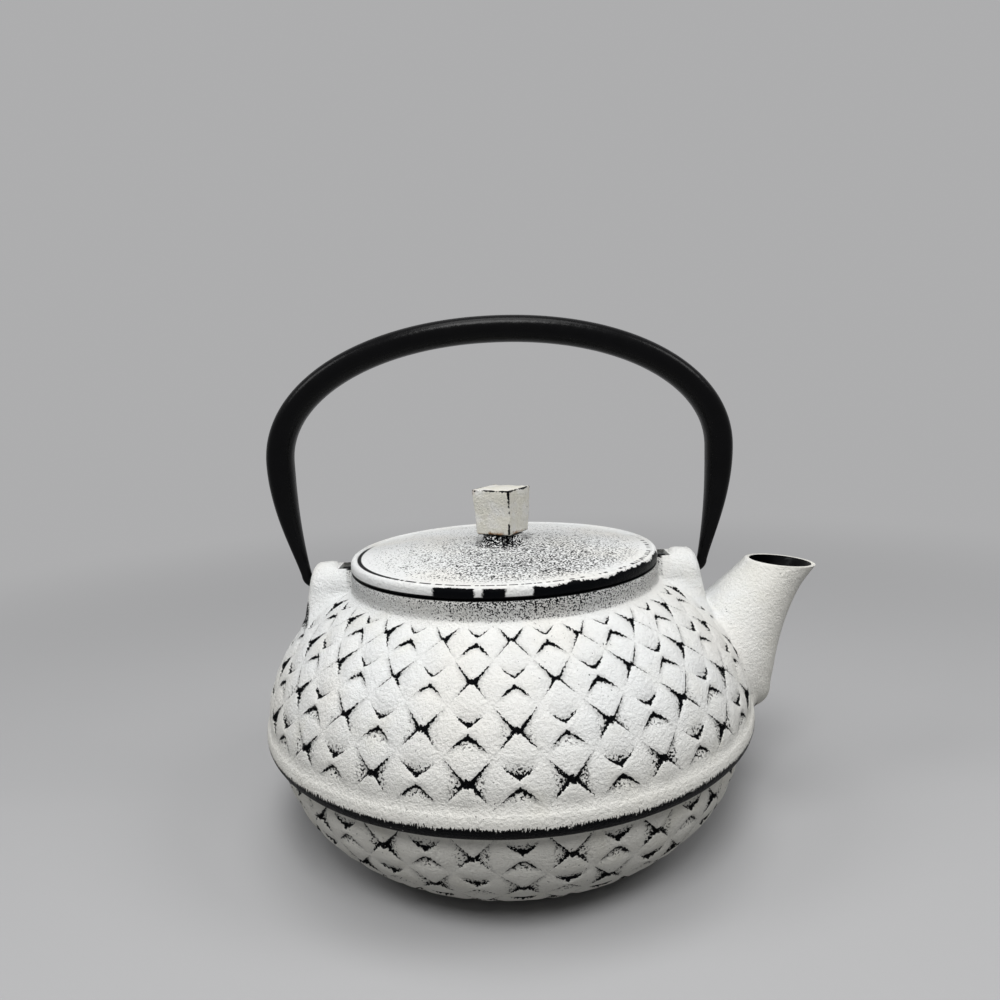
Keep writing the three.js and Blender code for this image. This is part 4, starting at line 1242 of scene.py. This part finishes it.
join_and_cut(screw, [], [("slot", slotted_mesh("slot", *slot_skin, [screw_steel]))])
shade(screw.data, sharp_from=35)
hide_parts("knob_screw")
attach(screw, "lid")

washer_bottom, washer_top, washer_radius = 69.45, 70.25, 5.6
washer_line = [[screw_hole_radius, washer_bottom], [washer_radius, washer_bottom]]
washer_line += [[washer_radius, washer_top], [screw_hole_radius, washer_top]]
washer = ring_piece("washer_disc", rounded(washer_line, (0.1, 0.25, 0.15, 0.1)), 96, screw_steel)
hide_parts("knob_washer")
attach(washer, "lid")


# Strainer basket. A cup of woven stainless wire, clamped between a pressed rim that hangs on the
# pot's ledge and a pressed foot ring that holds the floor.
rim_bottom = 66.9
rim_top = 67.8
rim_outer = mouth_radius - 0.3
band_outer = 34.1
band_inner = 33.5
mesh_inner = 32.7
mesh_outer = 33.2
foot_bottom = 30.8
foot_lip = 3.8
foot_sheet = 0.6
band_height = 6.0
foot_height = 3.6
wall_height = 34.7
wall_base = 31.8
floor_base = 31.95
wire = 0.17
mesh_pitch = 1.5
band_steel = turned_steel("band_steel", 0.66, 0.26, 3.0)
wire_steel = turned_steel("wire_steel", 0.58, 0.30, 2.0)
band_bottom = rim_bottom - band_height
rim_line = [[mesh_inner, rim_bottom], [band_inner, rim_bottom], [band_inner, band_bottom]]
rim_line += [[band_outer, band_bottom], [band_outer, rim_bottom], [rim_outer, rim_bottom]]
rim_line += [[rim_outer, rim_top], [mesh_inner, rim_top]]
rim_line = rounded(rim_line, (0.1, 0.1, 0.2, 0.2, 0.2, 0.44, 0.44, 0.5))
rim = ring_piece("basket_rim_ring", rim_line, 192, band_steel)
foot_top, foot_floor = foot_bottom + foot_height, foot_bottom + foot_sheet
foot_line = [[band_outer - foot_lip, foot_bottom], [band_outer, foot_bottom], [band_outer, foot_top]]
foot_line += [[band_inner, foot_top], [band_inner, foot_floor], [band_outer - foot_lip, foot_floor]]
foot_line = rounded(foot_line, (0.2, 0.8, 0.2, 0.2, 0.2, 0.2))
foot = ring_piece("basket_foot_ring", foot_line, 192, band_steel)


def woven_tree(name, flat):
    """Cloth of crossing wires, waved over and under each other: a flat disc, or the wall of a cup."""
    sizes = ("Radius", "Height", "Base", "Swing", "Wire")
    kinds = {label: "NodeSocketFloat" for label in sizes}
    kinds.update({"Across": "NodeSocketInt", "Along": "NodeSocketInt"})
    tree, given = new_tree(name, kinds)
    source = given["Geometry"]
    number = source.node("GeometryNodeInputIndex")
    parts = []
    for upright in (0, 1):
        # Two points for each crossing along a wire, one for each wire across
        columns = given["Across"] * (1 if upright else 2)
        rows = given["Along"] * (2 if upright else 1)
        grid = {"Size X": 1.0, "Size Y": 1.0, "Vertices X": columns + (1 - upright), "Vertices Y": rows}
        cloth = source.node("GeometryNodeMeshGrid", {}, grid)
        one = source.node("GeometryNodeInputMeshEdgeVertices", output=0)
        two = source.node("GeometryNodeInputMeshEdgeVertices", output=1)
        crossing = (one - two).size().maths("GREATER_THAN", 1.5)
        only_faces = {"domain": "FACE", "mode": "ONLY_FACE"}
        lines = source.node("GeometryNodeDeleteGeometry", only_faces, {"Geometry": cloth})
        dropped = {"Geometry": lines, "Selection": crossing if upright else 1 - crossing}
        lines = source.node("GeometryNodeDeleteGeometry", {"domain": "EDGE"}, dropped)
        column = ((number + 0.5) / rows).maths("FLOOR")
        row = number - column * rows
        along_wire, which = (row, column) if upright else (column, row)
        share_u = column / (given["Across"] if upright else columns)
        share_v = (row + 0.5) / rows
        crossing_number = ((along_wire + 0.25) / 2).maths("FLOOR")
        odd = (crossing_number + which + upright).maths("FLOORED_MODULO", 2.0)
        wave = (odd * 2 - 1) * given["Swing"]
        if flat:
            width = given["Radius"] * 2
            x = (share_u - 0.5) * width
            y = (share_v - 0.5) * width
            spot = source.spot(x, y, given["Base"] + wave)
            dropped = {"Geometry": lines, "Selection": x.hypot(y).maths("GREATER_THAN", given["Radius"])}
            lines = source.node("GeometryNodeDeleteGeometry", {"domain": "POINT"}, dropped)
        else:
            angle = share_u * (2 * math.pi)
            out = given["Radius"] + wave
            height = given["Base"] + given["Height"] * share_v
            spot = source.spot(out * angle.maths("SINE"), out * angle.maths("COSINE"), height)
        parts.append(swept(put(lines, spot), circle(source, 6, given["Wire"])))
    joined = tree.nodes.new("GeometryNodeJoinGeometry")
    for part in parts:
        tree.links.new(part.socket, joined.inputs[0])
    end_tree(Wire(tree, joined.outputs[0]), wire_steel)
    return tree


wall_values = {
    "Radius": (mesh_inner + mesh_outer) / 2 * mm,
    "Height": wall_height * mm,
    "Base": wall_base * mm,
    "Swing": wire * 0.75 * mm,
    "Wire": wire * mm,
    "Across": int(2 * math.pi * mesh_outer / mesh_pitch / 2) * 2,
    "Along": int(wall_height / mesh_pitch),
}
floor_wires = int(2 * mesh_inner / mesh_pitch)
floor_radius = mesh_inner - 0.4
floor_values = {**wall_values, "Radius": floor_radius * mm, "Base": floor_base * mm}
floor_values.update({"Across": floor_wires, "Along": floor_wires})
basket_wall, basket_floor = (
    bake_tree(link_object(name, bpy.data.meshes.new("seed")), woven_tree(tree_name, flat), values)
    for name, tree_name, flat, values in (
        ("basket_wall", "woven_wall", False, wall_values),
        ("basket_floor_mesh", "woven_floor", True, floor_values),
    )
)
for piece, node, steel in (
    (rim, "basket_rim", "stainless"),
    (basket_wall, "basket_mesh", "mesh_steel"),
    (foot, "basket_foot", "stainless"),
    (basket_floor, "basket_floor", "mesh_steel"),
):
    piece.data.shade_smooth()
    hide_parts(node)
    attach(piece, "basket")
